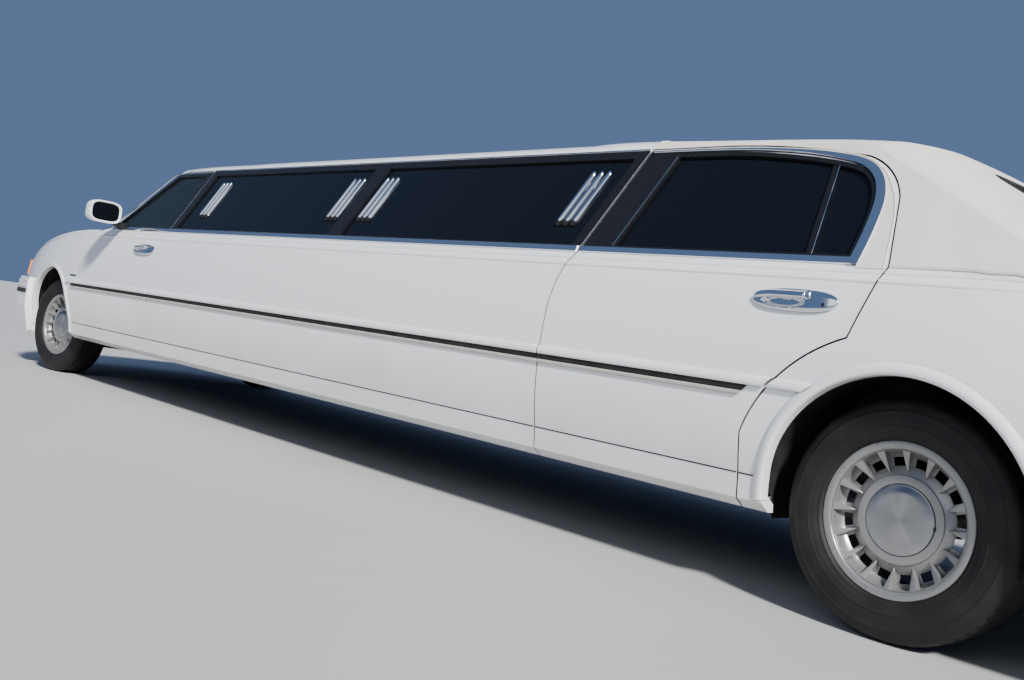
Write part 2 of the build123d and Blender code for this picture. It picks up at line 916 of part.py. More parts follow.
# Grille: a frame that follows the nose, with upright bars
grille_bars = 19
grille_bar_width = 9
grille_frame = 16
grille_depth = 34
grille_height = lamp_top - lamp_low
with BuildPart() as grille:
    with BuildSketch(Plane.YZ.offset(from_front(900))):
        with Locations((0, (lamp_low + lamp_top) / 2)):
            Rectangle(2 * grille_half, grille_height)
            Rectangle(2 * (grille_half - grille_frame), grille_height - 2 * grille_frame, mode=Mode.SUBTRACT)
            with GridLocations(2 * (grille_half - grille_frame) / (grille_bars + 1), 0, grille_bars, 1):
                Rectangle(grille_bar_width, grille_height - grille_frame)
    extrude(amount=200)
    extrude(nose_plan(-6), amount=far_out, mode=Mode.INTERSECT)
    extrude(nose_plan(grille_depth), amount=far_out, mode=Mode.SUBTRACT)
export(grille, "grille")

# Frame: two side rails that drop between the axles and rise over the rear one, tied by cross members
rail_inner_y = 415
rail_outer_y = 490
rail_depth = 110
floor_sheet = 20
frame_path = [
    (from_front(880), 400),
    (from_front(-450), 400),
    (from_front(-620), 325),
    (from_rear(620), 325),
    (from_rear(440), 590),
    (from_rear(-400), 590),
    (from_rear(-540), 430),
    (from_rear(-1290), 430),
]
rail_joints = (from_front(-640), from_rear(705), from_rear(-570))
# Columns: place along the body, low and high face, reach to each side
cross_members = [
    (from_front(780), 350, 450, 600),
    (from_front(-700), 270, 294, 790),
    (from_front(-1640), 270, 294, 790),
    (from_front(-2750), 270, 294, 790),
    (from_rear(2450), 270, 294, 790),
    (from_rear(1360), 270, 294, 790),
    (from_rear(660), 270, 294, 790),
    (from_rear(-330), 540, 640, rail_outer_y),
    (from_rear(-1220), 380, 480, 620),
]
trunk_floor_height = 495
floor_path = [
    (from_front(-560), 985),
    (from_front(-575), 560),
    (from_front(-660), 390),
    (from_rear(655), 390),
    (from_rear(475), 655),
    (from_rear(-430), 655),
    (from_rear(-570), trunk_floor_height),
    (from_rear(-1300), trunk_floor_height),
]


def bent_sheet(path, thickness, half_reach):
    """A sheet bent along a path seen from the side."""
    with BuildPart() as sheet:
        with BuildSketch(Plane.XZ.offset(-half_reach)):
            with BuildLine():
                Polyline(*path)
            trace(line_width=thickness)
        extrude(amount=2 * half_reach)
    return sheet.part


floor_half = 780
inner_sill_y = 838
wheelhouse_inner_y = 650
with BuildPart() as sills:
    for side in sides.values():
        for rear_x, front_x, outer_y in [
            (from_rear(470), from_rear(1365), inner_sill_y),
            (from_rear(1365), from_front(-1640), door_inner_y),
            (from_front(-1640), from_front(-575), inner_sill_y),
        ]:
            add(side_box(side, (rear_x, floor_half, 300), (front_x, outer_y, 410)))
export(sills, "sills")
with BuildPart() as floor_pan:
    add(bent_sheet(floor_path, floor_sheet, floor_half))
    for side in sides.values():
        with BuildSketch(Plane.XZ.offset(-side * wheelhouse_inner_y)):
            with Locations((rear_axle_x, tyre_radius)):
                Circle(rear_arch_radius + 20)
        extrude(amount=far_out, dir=(0, side, 0), mode=Mode.SUBTRACT)
    extrude(rear_bumper_plan(bumper_wall + fit_gap, 0, nose_x), amount=far_out, mode=Mode.INTERSECT)
with BuildPart() as wheelhouses:
    for x, radius, inner_y in [
        (rear_axle_x, rear_arch_radius + 20, wheelhouse_inner_y),
        (front_axle_x, front_arch_radius + 20, rail_outer_y),
    ]:
        for side in sides.values():
            with BuildSketch(Plane.XZ.offset(-side * inner_y)):
                with Locations((x, tyre_radius)):
                    Circle(radius + floor_sheet)
            extrude(amount=far_out - inner_y, dir=(0, side, 0))
            with BuildSketch(Plane.XZ.offset(-side * (inner_y + floor_sheet))):
                with Locations((x, tyre_radius)):
                    Circle(radius)
            extrude(amount=far_out - inner_y, dir=(0, side, 0), mode=Mode.SUBTRACT)
    add(box_between((tail_x, -far_out, 0), (nose_x, far_out, 400)), mode=Mode.SUBTRACT)
    add(box_between((rear_axle_x - 75, -far_out, 0), (rear_axle_x + 75, far_out, 450)), mode=Mode.SUBTRACT)
    add(box_between((front_axle_x - 175, -700, 0), (front_axle_x + 175, 700, 530)), mode=Mode.SUBTRACT)
with BuildPart() as front_houses:
    add(wheelhouses.part)
    add(front_inner, mode=Mode.INTERSECT)
    add(floor_pan.part, mode=Mode.SUBTRACT)
with BuildPart() as rear_houses:
    add(wheelhouses.part)
    add(rear_inner, mode=Mode.INTERSECT)
    add(floor_pan.part, mode=Mode.SUBTRACT)
with BuildPart() as frame:
    for side in sides.values():
        with BuildSketch(Plane.XZ.offset(-side * rail_inner_y)):
            with BuildLine():
                Polyline(*frame_path)
            trace(line_width=rail_depth)
        extrude(amount=rail_outer_y - rail_inner_y, dir=(0, side, 0))
    for x in rail_joints:
        add(box_between((x, -rail_outer_y, 0), (x + fit_gap, rail_outer_y, belt_height)), mode=Mode.SUBTRACT)
    add(floor_pan.part, mode=Mode.SUBTRACT)
    add(front_houses.part, mode=Mode.SUBTRACT)
with BuildPart() as cross_bars:
    for x, low, high, reach in cross_members:
        add(box_between((x - 35, -reach, low), (x + 35, reach, high)))
    add(frame.part, mode=Mode.SUBTRACT)
    add(floor_pan.part, mode=Mode.SUBTRACT)
    add(front_houses.part, mode=Mode.SUBTRACT)
with BuildPart() as body_floor:
    add(floor_pan.part)
    add(rear_houses.part)
    add(sills.part)
with BuildPart() as chassis:
    add(frame.part)
    add(cross_bars.part)
export(floor_pan, "floor_pan")
export(rear_houses, "rear_wheelhouses")
export(front_houses, "front_wheelhouses")
export(frame, "frame_rails")
export(cross_bars, "cross_members")

# Wheels: tyre, rim barrel and a disc of blades, each built on the axis of its own wheel
rim_barrel = 11
disc_inset = 12
web_radius = 133
window_inner_radius = 137
window_outer_radius = 186
inner_window_half = 16
outer_window_half = 28
hub_radius = 122
cap_radius = 97
cap_bevel = 12
bore_radius = 32
hub_wall_radius = 62
hub_reach = 30
cap_wall = 24
bead_inset = 8
flange_lip = 3.2


def wheel_frame(x, side, track, turn=0):
    """Plane whose normal is the wheel's axis, pointing out of the vehicle."""
    if turn:
        away = track / 2 - kingpin_y
        origin = (
            x - side * away * sin(radians(turn)),
            side * kingpin_y + side * away * cos(radians(turn)),
            tyre_radius,
        )
        outward = (-side * sin(radians(turn)), side * cos(radians(turn)), 0)
    else:
        origin = (x, side * track / 2, tyre_radius)
        outward = (0, side, 0)
    return Plane(origin=origin, x_dir=(0, 0, 1), z_dir=outward)


def tyre_form():
    """A tyre of plain cones about the Z axis: tread, shoulders, side walls and bead seat."""
    half = tyre_width / 2
    with BuildPart() as tyre:
        with BuildSketch(Plane.XZ):
            with BuildLine():
                Polyline(
                    (bead_radius, bead_inset - rim_width / 2),
                    (tyre_radius * 0.815, -half),
                    (tyre_radius, -half + 22),
                    (tyre_radius, half - 22),
                    (tyre_radius * 0.815, half),
                    (bead_radius, rim_width / 2 - bead_inset),
                    close=True,
                )
            make_face()
        revolve(axis=Axis.Z)
    return tyre.part


def rim_form():
    """A pressed rim about the Z axis, with a ring of blades between its windows and a flat round cap."""
    half = rim_width / 2
    face = half - disc_inset
    barrel = bead_radius - fit_gap
    with BuildPart() as rim:
        with BuildSketch(Plane.XZ):
            with BuildLine():
                Polyline(
                    (barrel - rim_barrel, half - disc_inset - 16),
                    (barrel - rim_barrel, 8 - half),
                    (flange_radius, -half),
                    (flange_radius, flange_lip - half),
                    (barrel, bead_inset - fit_gap - half),
                    (barrel, half - bead_inset + fit_gap),
                    (flange_radius, half - flange_lip),
                    (flange_radius, half),
                    (window_outer_radius + 5, face),
                    (web_radius, face - 22),
                    (hub_radius, face - 16),
                    (cap_radius, face - 4),
                    (cap_radius - cap_bevel, face),
                    (0, face),
                    (0, face - cap_wall),
                    (bore_radius, face - cap_wall),
                    (bore_radius, -hub_reach),
                    (hub_wall_radius, -hub_reach),
                    (hub_wall_radius, face - 38),
                    (web_radius, face - 42),
                    close=True,
                )
            make_face()
        revolve(axis=Axis.Z)
        with BuildSketch(Plane.XY):
            with PolarLocations(0, blade_count, start_angle=180 / blade_count):
                Polygon(
                    (window_inner_radius, -inner_window_half),
                    (window_outer_radius, -outer_window_half),
                    (window_outer_radius, outer_window_half),
                    (window_inner_radius, inner_window_half),
                    align=None,
                )
        extrude(amount=rim_width, mode=Mode.SUBTRACT)
    return rim.part


tyre_solid = tyre_form()
rim_solid = rim_form()
# Columns: name, place along the body, side, track, steering angle at rest
wheels = [
    ("front_left", front_axle_x, 1, front_track, steer_at_rest),
    ("front_right", front_axle_x, -1, front_track, steer_at_rest),
    ("rear_left", rear_axle_x, 1, rear_track, 0),
    ("rear_right", rear_axle_x, -1, rear_track, 0),
]
for name, x, side, track, turn in wheels:
    place = wheel_frame(x, side, track, turn).location
    with BuildPart() as tyre:
        add(place * tyre_solid)
    export(tyre, f"tyre_{name}")
    with BuildPart() as rim:
        add(place * rim_solid)
    export(rim, f"wheel_{name}")

# Knuckles: an upright with its spindle in the wheel, held between two arms
running_fit = 0.06
spindle_radius = bore_radius - running_fit
spindle_reach = rim_width / 2 - disc_inset - cap_wall - 5
upright_radius = 58
ball_radius = 14
arm_low = 205
arm_thickness = 30
upper_arm_low = 470
upright_low = arm_low + arm_thickness + fit_gap
upright_high = upper_arm_low - fit_gap
for name, x, side, track, turn in wheels[:2]:
    plane = wheel_frame(x, side, track, turn)
    with BuildPart() as knuckle:
        with BuildSketch(plane.offset(kingpin_y - track / 2 - 22)):
            Circle(upright_radius)
        extrude(amount=32)
        with BuildSketch(plane.offset(-rim_width / 2)):
            Circle(spindle_radius)
        extrude(amount=rim_width / 2 + spindle_reach)
        with BuildSketch(Plane.XY.offset(upright_low)):
            with Locations((x, side * kingpin_y)):
                Circle(ball_radius + 6)
        extrude(amount=upright_high - upright_low)
    export(knuckle, f"knuckle_{name}")

with BuildPart() as front_arms:
    for side in sides.values():
        for low in (arm_low, upper_arm_low):
            with BuildSketch(Plane.XY.offset(low)):
                with BuildLine():
                    Polyline(
                        (front_axle_x - 150, side * rail_inner_y),
                        (front_axle_x - 24, side * (kingpin_y + 20)),
                        (front_axle_x + 24, side * (kingpin_y + 20)),
                        (front_axle_x + 150, side * rail_inner_y),
                        close=True,
                    )
                make_face()
            extrude(amount=arm_thickness)
        add(side_box(
            side,
            (front_axle_x - 60, rail_inner_y, 455),
            (front_axle_x + 60, rail_outer_y, upper_arm_low + arm_thickness),
        ))
    add(box_between((front_axle_x - 170, -rail_outer_y, arm_low), (front_axle_x + 170, rail_outer_y, 345)))
    add(chassis.part, mode=Mode.SUBTRACT)
    add(front_houses.part, mode=Mode.SUBTRACT)
export(front_arms, "front_suspension")

# Rear axle: tube, differential housing and spindles
axle_tube_radius = 42
with BuildPart() as rear_axle:
    with BuildSketch(Plane.XZ.offset(-(rear_track / 2 - rim_width / 2 - 20))):
        with Locations((rear_axle_x, tyre_radius)):
            Circle(axle_tube_radius)
    extrude(amount=rear_track - rim_width - 40)
    with BuildSketch(Plane.XZ.offset(-(rear_track / 2 + spindle_reach))):
        with Locations((rear_axle_x, tyre_radius)):
            Circle(spindle_radius)
    extrude(amount=rear_track + 2 * spindle_reach)
    with BuildSketch(Plane.YZ.offset(rear_axle_x)):
        with BuildLine():
            Polyline(
                (-150, tyre_radius),
                (-150, tyre_radius + 60),
                (-60, tyre_radius + 125),
                (60, tyre_radius + 125),
                (150, tyre_radius + 60),
                (150, tyre_radius),
                close=True,
            )
        make_face()
    revolve(axis=Axis((rear_axle_x, 0, tyre_radius), (0, 1, 0)))
    for side in sides.values():
        add(side_box(
            side,
            (rear_axle_x - 60, rail_inner_y, tyre_radius),
            (rear_axle_x + 60, rail_outer_y, 535),
        ))
    add(chassis.part, mode=Mode.SUBTRACT)
export(rear_axle, "rear_axle")

shaft_radius = 34
# Engine and gearbox as one mass, with the shaft back to the rear axle
with BuildPart() as powertrain:
    add(box_between((from_front(-380), -300, 345 + fit_gap), (from_front(380), 300, 830)))
    add(box_between((from_front(-560), -180, 300), (from_front(-370), 180, 560)))
    add(box_between((from_front(-1250), -120, 280), (from_front(-550), 120, 370)))
    with BuildSketch(Plane.YZ.offset(from_rear(124))):
        with Locations((0, tyre_radius)):
            Circle(shaft_radius)
    extrude(amount=from_front(-1240) - from_rear(124))
    add(body_floor.part, mode=Mode.SUBTRACT)
    add(chassis.part, mode=Mode.SUBTRACT)
    add(rear_axle.part, mode=Mode.SUBTRACT)
    add(front_arms.part, mode=Mode.SUBTRACT)
export(powertrain, "powertrain")

# Exhaust and fuel tank
with BuildPart() as exhaust:
    for side in sides.values():
        with BuildSketch(Plane.YZ.offset(from_rear(500))):
            with Locations((side * 300, 300)):
                Circle(28)
        extrude(amount=from_front(-380) - from_rear(500))
        with BuildSketch(Plane.YZ.offset(from_rear(700))):
            with Locations((side * 300, 318)):
                SlotOverall(170, 100)
        extrude(amount=620)
    add(chassis.part, mode=Mode.SUBTRACT)
    add(body_floor.part, mode=Mode.SUBTRACT)
    add(powertrain.part, mode=Mode.SUBTRACT)
export(exhaust, "exhaust")

tank_top = trunk_floor_height - floor_sheet / 2 - fit_gap
with BuildPart() as fuel_tank:
    add(box_between((from_rear(-1150), -400, 300), (from_rear(-560), 400, tank_top)))
    add(chassis.part, mode=Mode.SUBTRACT)
    add(body_floor.part, mode=Mode.SUBTRACT)
export(fuel_tank, "fuel_tank")


def side_form(y_low, y_high, path):
    """A plain form drawn from the side, such as a seat or the dashboard."""
    with BuildPart() as form:
        with BuildSketch(Plane.XZ.offset(-y_low)):
            with BuildLine():
                Polyline(*path, close=True)
            make_face()
        extrude(amount=y_high - y_low, dir=(0, 1, 0))
    return form.part


floor_top = 400
seat_floor = floor_top + fit_gap
# Front seats, rear seat and side bench. Paths are seen from the side
with BuildPart() as front_seats:
    for y_low in (90, -660):
        add(side_form(y_low, y_low + 570, [
            (from_front(-1130), 470),
            (from_front(-1130), 640),
            (from_front(-1560), 600),
            (from_front(-1690), 1060),
            (from_front(-1680), 1240),
            (from_front(-1760), 1250),
            (from_front(-1800), 1060),
            (from_front(-1720), 480),
            (from_front(-1640), seat_floor),
            (from_front(-1200), seat_floor),
        ]))
export(front_seats, "front_seats")

with BuildPart() as rear_seat:
    add(side_form(-600, 600, [
        (from_rear(880), seat_floor),
        (from_rear(900), 660),
        (from_rear(420), 690),
        (from_rear(250), 1080),
        (from_rear(120), 1090),
        (from_rear(150), 665 + fit_gap),
        (from_rear(480.5), 665 + fit_gap),
        (from_rear(660.6), seat_floor),
    ]))
export(rear_seat, "rear_seat")

with BuildPart() as lounge_bench:
    with BuildSketch(Plane.YZ.offset(from_rear(1480))):
        with BuildLine():
            Polyline(
                (fit_gap - door_inner_y, seat_floor + 15),
                (fit_gap - door_inner_y, 980),
                (-700, 980),
                (-640, 660),
                (-300, 650),
                (-300, seat_floor + 15),
                close=True,
            )
        make_face()
    extrude(amount=2400)
    add(body_floor.part, mode=Mode.SUBTRACT)
export(lounge_bench, "lounge_bench")

# Wall between the driver and the passengers, with its window
partition_x = from_front(-1960)
ledge = belt_height - cabin_wall / 2 + fit_gap
with BuildPart() as partition:
    with BuildSketch(Plane.YZ.offset(partition_x)):
        with BuildLine():
            edge = [
                (door_inner_y - fit_gap, 415),
                (door_inner_y - fit_gap, ledge),
                (leaning_y(ledge, cabin_wall + fit_gap), ledge),
                (leaning_y(rail_height + 30, cabin_wall + fit_gap), rail_height + 30),
            ]
            Polyline(*edge, *[(-y, z) for y, z in reversed(edge)], close=True)
        make_face()
        with Locations((0, 1180)):
            Rectangle(1100, 300, mode=Mode.SUBTRACT)
    extrude(amount=50)
    add(body_floor.part, mode=Mode.SUBTRACT)
    add(roof_panel.part, mode=Mode.SUBTRACT)
export(partition, "partition")

# Dashboard and steering wheel
with BuildPart() as dashboard:
    add(side_form(-788, 788, [
        (from_front(-590), 620),
        (from_front(-570), 965),
        (from_front(-640), 1000),
        (from_front(-860), 985),
        (from_front(-900), 900),
        (from_front(-820), 700),
        (from_front(-700), 620),
    ]))
    add(body_floor.part, mode=Mode.SUBTRACT)
    add(front_fenders.part, mode=Mode.SUBTRACT)
export(dashboard, "dashboard")

wheel_hub = Vector(from_front(-1060), 370, 935)
column_foot = Vector(from_front(-862), 370, 880)
column_axis = (wheel_hub - column_foot).normalized()
hand_wheel_plane = Plane(origin=wheel_hub, x_dir=(0, 1, 0), z_dir=column_axis)
with BuildPart() as steering_wheel:
    with BuildSketch(Plane(origin=wheel_hub, x_dir=(0, 1, 0), z_dir=hand_wheel_plane.y_dir)):
        with Locations((180, 0)):
            RegularPolygon(15, 8)
    revolve(axis=Axis(wheel_hub, column_axis))
    with BuildSketch(hand_wheel_plane.offset(-12)):
        Circle(70)
        Rectangle(352, 46)
    extrude(amount=18)
    with BuildSketch(hand_wheel_plane.offset(-12)):
        Circle(24)
    extrude(amount=-(wheel_hub - column_foot).length + 12 + fit_gap)
    add(dashboard.part, mode=Mode.SUBTRACT)
export(steering_wheel, "steering_wheel")

# Door handles: an oval cup and bar that stands on the skin
handle_height = 905
# Columns: door, place of the middle
handles = [
    ("front_door", from_front(-1457)),
    ("rear_door", from_rear(365)),
]
for name, x in handles:
    for side_name, side in sides.items():
        with BuildPart() as handle:
            with BuildSketch(Plane.XZ.offset(-side * 940)):
                with Locations((x, handle_height)):
                    Ellipse(135, 32)
            extrude(amount=52, dir=(0, side, 0))
            add(side_wall(side, x - 200, x + 200), mode=Mode.SUBTRACT)
        export(handle, f"{name}_handle_{side_name}")

# Door mirrors: a shell on a foot at the front corner of the window
mirror_x = from_front(-1010)
for side_name, side in sides.items():
    with BuildPart() as mirror:
        with BuildSketch(Plane.YZ.offset(mirror_x - 60)):
            with Locations((side * 1080, 1115)):
                RectangleRounded(226, 140, 45)
        with BuildSketch(Plane.YZ.offset(mirror_x + 10)):
            with Locations((side * 1080, 1115)):
                RectangleRounded(216, 130, 45)
        with BuildSketch(Plane.YZ.offset(mirror_x + 70)):
            with Locations((side * 1070, 1112)):
                RectangleRounded(130, 80, 30)
        loft(ruled=True)
        add(side_box(side, (from_front(-985), 905, 1024), (from_front(-905), 1010, 1080)))
        add(side_wall(side, mirror_x - 300, mirror_x + 300), mode=Mode.SUBTRACT)
    export(mirror, f"mirror_{side_name}")

# Slanted bright bars on the centre windows. Column: middle of each group forward of the rear axle
bar_groups = (1430, 2742, 3011, 4349)
bar_width = 24
bar_pitch = 40
bar_low = 1140
bar_high = 1350
with BuildPart() as window_bars:
    for side in sides.values():
        for middle in bar_groups:
            for offset_x in (-bar_pitch, 0, bar_pitch):
                foot_x = from_rear(middle + offset_x)
                head_x = foot_x - window_lean * (bar_high - bar_low)
                with BuildSketch(Plane.XZ.offset(-side * 600)):
                    with BuildLine():
                        Polyline(
                            (foot_x - bar_width / 2, bar_low),
                            (foot_x + bar_width / 2, bar_low),
                            (head_x + bar_width / 2, bar_high),
                            (head_x - bar_width / 2, bar_high),
                            close=True,
                        )
                    make_face()
                extrude(amount=far_out - 600, dir=(0, side, 0))
with BuildPart() as bar_layer:
    for side in sides.values():
        with BuildSketch(Plane.YZ.offset(from_rear(0))):
            with BuildLine():
                Polyline(
                    (side * leaning_y(rail_height, -4), rail_height),
                    (side * leaning_y(rail_height, glass_depth), rail_height),
                    (side * leaning_y(belt_height, glass_depth), belt_height),
                    (side * leaning_y(belt_height, -4), belt_height),
                    close=True,
                )
            make_face()
        extrude(amount=wheelbase)
with BuildPart() as bars:
    add(window_bars.part)
    add(bar_layer.part, mode=Mode.INTERSECT)
export(bars, "window_bars")

# Posts inside the body that carry the doors
post_inner_y = 792
post_outer_y = inner_sill_y
with BuildPart() as door_posts:
    for side in sides.values():
        for seam_x in (from_front(front_door_seam), from_rear(rear_door_seam)):
            add(side_box(side, (seam_x - 170, post_inner_y, 410), (seam_x - 30, post_outer_y, 985)))
            for low in hinge_heights:
                bracket_low = low - strap_height - fit_gap
                add(side_box(
                    side,
                    (seam_x - hinge_setback - hinge_eye, post_outer_y - 10, bracket_low),
                    (seam_x - hinge_setback + hinge_eye, hinge_y, low - fit_gap),
                ))
                add(hinge_round(side, seam_x, bracket_low, strap_height, hinge_eye))
                add(hinge_round(side, seam_x, bracket_low, 2 * strap_height, hinge_bore - running_fit))
        seam_x = from_rear(rear_door_seam)
        add(side_box(side, (seam_x - 40, post_inner_y, 410), (seam_x + 60, post_outer_y - 8, 985)))
        add(side_box(side, (seam_x + 12, post_inner_y, 410), (seam_x + 60, door_inner_y - fit_gap, 980)))
export(door_posts, "door_posts")
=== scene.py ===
# %% [markdown]
# # A stretch limousine, dressed for the camera
# The imported solids come in as a fixed frame, which nothing here moves. Each later cell lays one real
# piece or finish on that frame: paint, vinyl, glass, bright trim, wheels and seats. All lengths are metres.

from math import atan2, cos, hypot, pi, radians, sin

import bmesh
import bpy
from mathutils import Matrix, Vector
from mathutils.bvhtree import BVHTree
from mathutils.geometry import tessellate_polygon


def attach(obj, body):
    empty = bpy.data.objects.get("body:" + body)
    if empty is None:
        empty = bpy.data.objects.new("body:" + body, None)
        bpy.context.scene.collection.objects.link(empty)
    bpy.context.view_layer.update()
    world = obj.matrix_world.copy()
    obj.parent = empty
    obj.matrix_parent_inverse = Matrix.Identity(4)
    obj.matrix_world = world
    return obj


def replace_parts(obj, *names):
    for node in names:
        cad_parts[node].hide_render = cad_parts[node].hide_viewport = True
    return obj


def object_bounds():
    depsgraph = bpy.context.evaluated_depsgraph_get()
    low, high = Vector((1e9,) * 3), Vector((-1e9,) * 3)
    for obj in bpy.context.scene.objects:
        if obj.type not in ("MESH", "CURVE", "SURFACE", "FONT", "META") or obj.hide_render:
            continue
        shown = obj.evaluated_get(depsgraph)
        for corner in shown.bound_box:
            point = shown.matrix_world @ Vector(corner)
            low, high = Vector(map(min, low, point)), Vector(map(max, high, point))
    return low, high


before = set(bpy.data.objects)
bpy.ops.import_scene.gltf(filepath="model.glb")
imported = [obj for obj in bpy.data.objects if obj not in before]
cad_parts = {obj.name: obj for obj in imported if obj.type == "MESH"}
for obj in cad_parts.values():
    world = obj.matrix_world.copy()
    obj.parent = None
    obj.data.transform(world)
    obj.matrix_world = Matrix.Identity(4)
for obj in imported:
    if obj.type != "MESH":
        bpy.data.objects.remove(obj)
cad_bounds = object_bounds()

# %% [markdown]
# ## The camera
# The photograph was taken from low down beside the rear wheel, with the camera rolled a few degrees. A camera
# matrix is simply three directions and a place, so it is built from a heading, a pitch and a roll. The numbers
# came from matching the ellipses of both wheels and the long body lines.

# %% Camera
front_axle = 3.3255
rear_axle = -2.9665
camera_place = Vector((rear_axle - 1.2638, 3.6153, 0.6656))
heading, pitch, roll = radians(-43.564), radians(0.127), radians(8.17)
focal_pixels, photo_width, sensor_width = 1028.8, 1024, 36


def new_object(name, data):
    """An object with this data, linked to the scene."""
    made = bpy.data.objects.new(name, data)
    bpy.context.scene.collection.objects.link(made)
    return made


ahead = Vector((cos(pitch) * cos(heading), cos(pitch) * sin(heading), sin(pitch)))
level_right = ahead.cross(Vector((0, 0, 1))).normalized()
level_up = level_right.cross(ahead)
right = cos(roll) * level_right + sin(roll) * level_up
up = -sin(roll) * level_right + cos(roll) * level_up

camera_data = bpy.data.cameras.new("photo_camera")
camera_data.sensor_width = sensor_width
camera_data.lens = focal_pixels * sensor_width / photo_width
camera = new_object("photo_camera", camera_data)
camera.matrix_world = Matrix.Translation(camera_place) @ Matrix((right, up, -ahead)).transposed().to_4x4()
bpy.context.scene.camera = camera
print("lens", round(camera_data.lens, 2), "mm at", [round(v, 3) for v in camera_place])

# %% [markdown]
# ## Floor and light
# A pale plain floor stands for the ground. The main light comes from behind the car, high up and a little to
# its left, so that it grazes the long side and draws every gap and crease. It is a sun lamp with a wide disc,
# which keeps its shadows soft. The world is a plain sky blue, which bright trim and dark glass pick up.

# %% Floor, lamps and sky
floor_half = 60
floor_corners = [(floor_half * a, floor_half * b, 0) for a, b in ((-1, -1), (1, -1), (1, 1), (-1, 1))]
floor_mesh = bpy.data.meshes.new("floor")
floor_mesh.from_pydata(floor_corners, [], [(0, 1, 2, 3)])
floor = new_object("floor", floor_mesh)

world = bpy.data.worlds.new("daylight")
world.use_nodes = True
sky = world.node_tree.nodes["Background"]
sky.inputs["Color"].default_value = (0.30, 0.47, 0.90, 1)
sky.inputs["Strength"].default_value = 0.36
bpy.context.scene.world = world


def shining(direction):
    """The rotation of a lamp that shines this way."""
    return Vector(direction).to_track_quat("-Z", "Y").to_euler()


soft_light = bpy.data.lights.new("camera_side", "AREA")
soft_light.shape = "RECTANGLE"
soft_light.size, soft_light.size_y, soft_light.energy = 13, 6, 260
soft_lamp = new_object("camera_side", soft_light)
soft_lamp.location = (-4, 12, 6.5)
soft_lamp.rotation_euler = shining((4, -12, 0.8 - 6.5))
daylight = bpy.data.lights.new("grazing_sun", "SUN")
daylight.energy = 7.5
daylight.angle = radians(7)
new_object("grazing_sun", daylight).rotation_euler = shining((0.74, -0.33, -0.58))

# %% [markdown]
# ## Finishes
# Each finish starts from one Principled shader. What is the same all over is set on the shader's own sockets,
# and what varies, such as dust, grain or scratches, comes from noise that is measured in metres on the piece.

# %% Helper for finishes


class Finish:
    """A material with short ways to reach its shader and add noise."""

    def __init__(self, name, colour, roughness, metallic=0.0, **sockets):
        self.material = bpy.data.materials.new(name)
        self.material.use_nodes = True
        self.tree = self.material.node_tree
        self.shader = self.tree.nodes["Principled BSDF"]
        self.set("Base Color", (*colour, 1))
        self.set("Roughness", roughness)
        self.set("Metallic", metallic)
        for socket, value in sockets.items():
            self.set(socket.replace("_", " "), value)

    def set(self, socket, value):
        self.shader.inputs[socket].default_value = value

    def node(self, kind, **values):
        """A new node. Its values are settings of its own, or of its sockets with _ for each blank."""
        made = self.tree.nodes.new(kind)
        for key, value in values.items():
            if hasattr(made, key):
                setattr(made, key, value)
            else:
                made.inputs[key.replace("_", " ")].default_value = value
        return made

    def link(self, source, target):
        self.tree.links.new(source, target)

    def place(self):
        return self.node("ShaderNodeTexCoord").outputs["Object"]

    def noise(self, scale, detail, roughness=0.5):
        field = self.node("ShaderNodeTexNoise", Scale=scale, Detail=detail, Roughness=roughness)
        self.link(self.place(), field.inputs["Vector"])
        return field.outputs["Fac"]

    def ramp(self, source, low, high, first, second):
        """Colours between two noise levels."""
        ramp = self.node("ShaderNodeValToRGB")
        ramp.color_ramp.elements[0].position = low
        ramp.color_ramp.elements[1].position = high
        ramp.color_ramp.elements[0].color = (*first, 1)
        ramp.color_ramp.elements[1].color = (*second, 1)
        self.link(source, ramp.inputs["Fac"])
        return ramp.outputs["Color"]

    def mottle(self, scale, detail, low, high, first, second, roughness=0.5):
        """A base colour that varies between two colours."""
        varied = self.ramp(self.noise(scale, detail, roughness), low, high, first, second)
        self.link(varied, self.shader.inputs["Base Color"])

    def drift(self, scale, detail, low, high):
        """A roughness that drifts between two values."""
        span = self.node("ShaderNodeMapRange", From_Min=0.3, From_Max=0.7, To_Min=low, To_Max=high)
        self.link(self.noise(scale, detail), span.inputs["Value"])
        self.link(span.outputs["Result"], self.shader.inputs["Roughness"])

    def painted_gap_shade(self, colour, reach):
        """The colour, darkened where another surface is closer than the reach: painted shade in gaps."""
        gap = self.node("ShaderNodeAmbientOcclusion", samples=8, Distance=reach)
        shade = self.ramp(gap.outputs["AO"], 0.30, 0.72, (0.05, 0.047, 0.042), (1, 1, 1))
        product = self.node("ShaderNodeVectorMath", operation="MULTIPLY")
        self.link(colour, product.inputs[0])
        self.link(shade, product.inputs[1])
        return product.outputs["Vector"]

    def bump(self, source, strength, distance):
        bump = self.node("ShaderNodeBump", Strength=strength, Distance=distance)
        self.link(source, bump.inputs["Height"])
        self.link(bump.outputs["Normal"], self.shader.inputs["Normal"])

    def grain(self, scale, depth):
        """Small pressed cells, as on vinyl and leather."""
        cells = self.node("ShaderNodeTexVoronoi", feature="DISTANCE_TO_EDGE", Scale=scale)
        self.link(self.place(), cells.inputs["Vector"])
        self.bump(cells.outputs["Distance"], 0.5, depth)
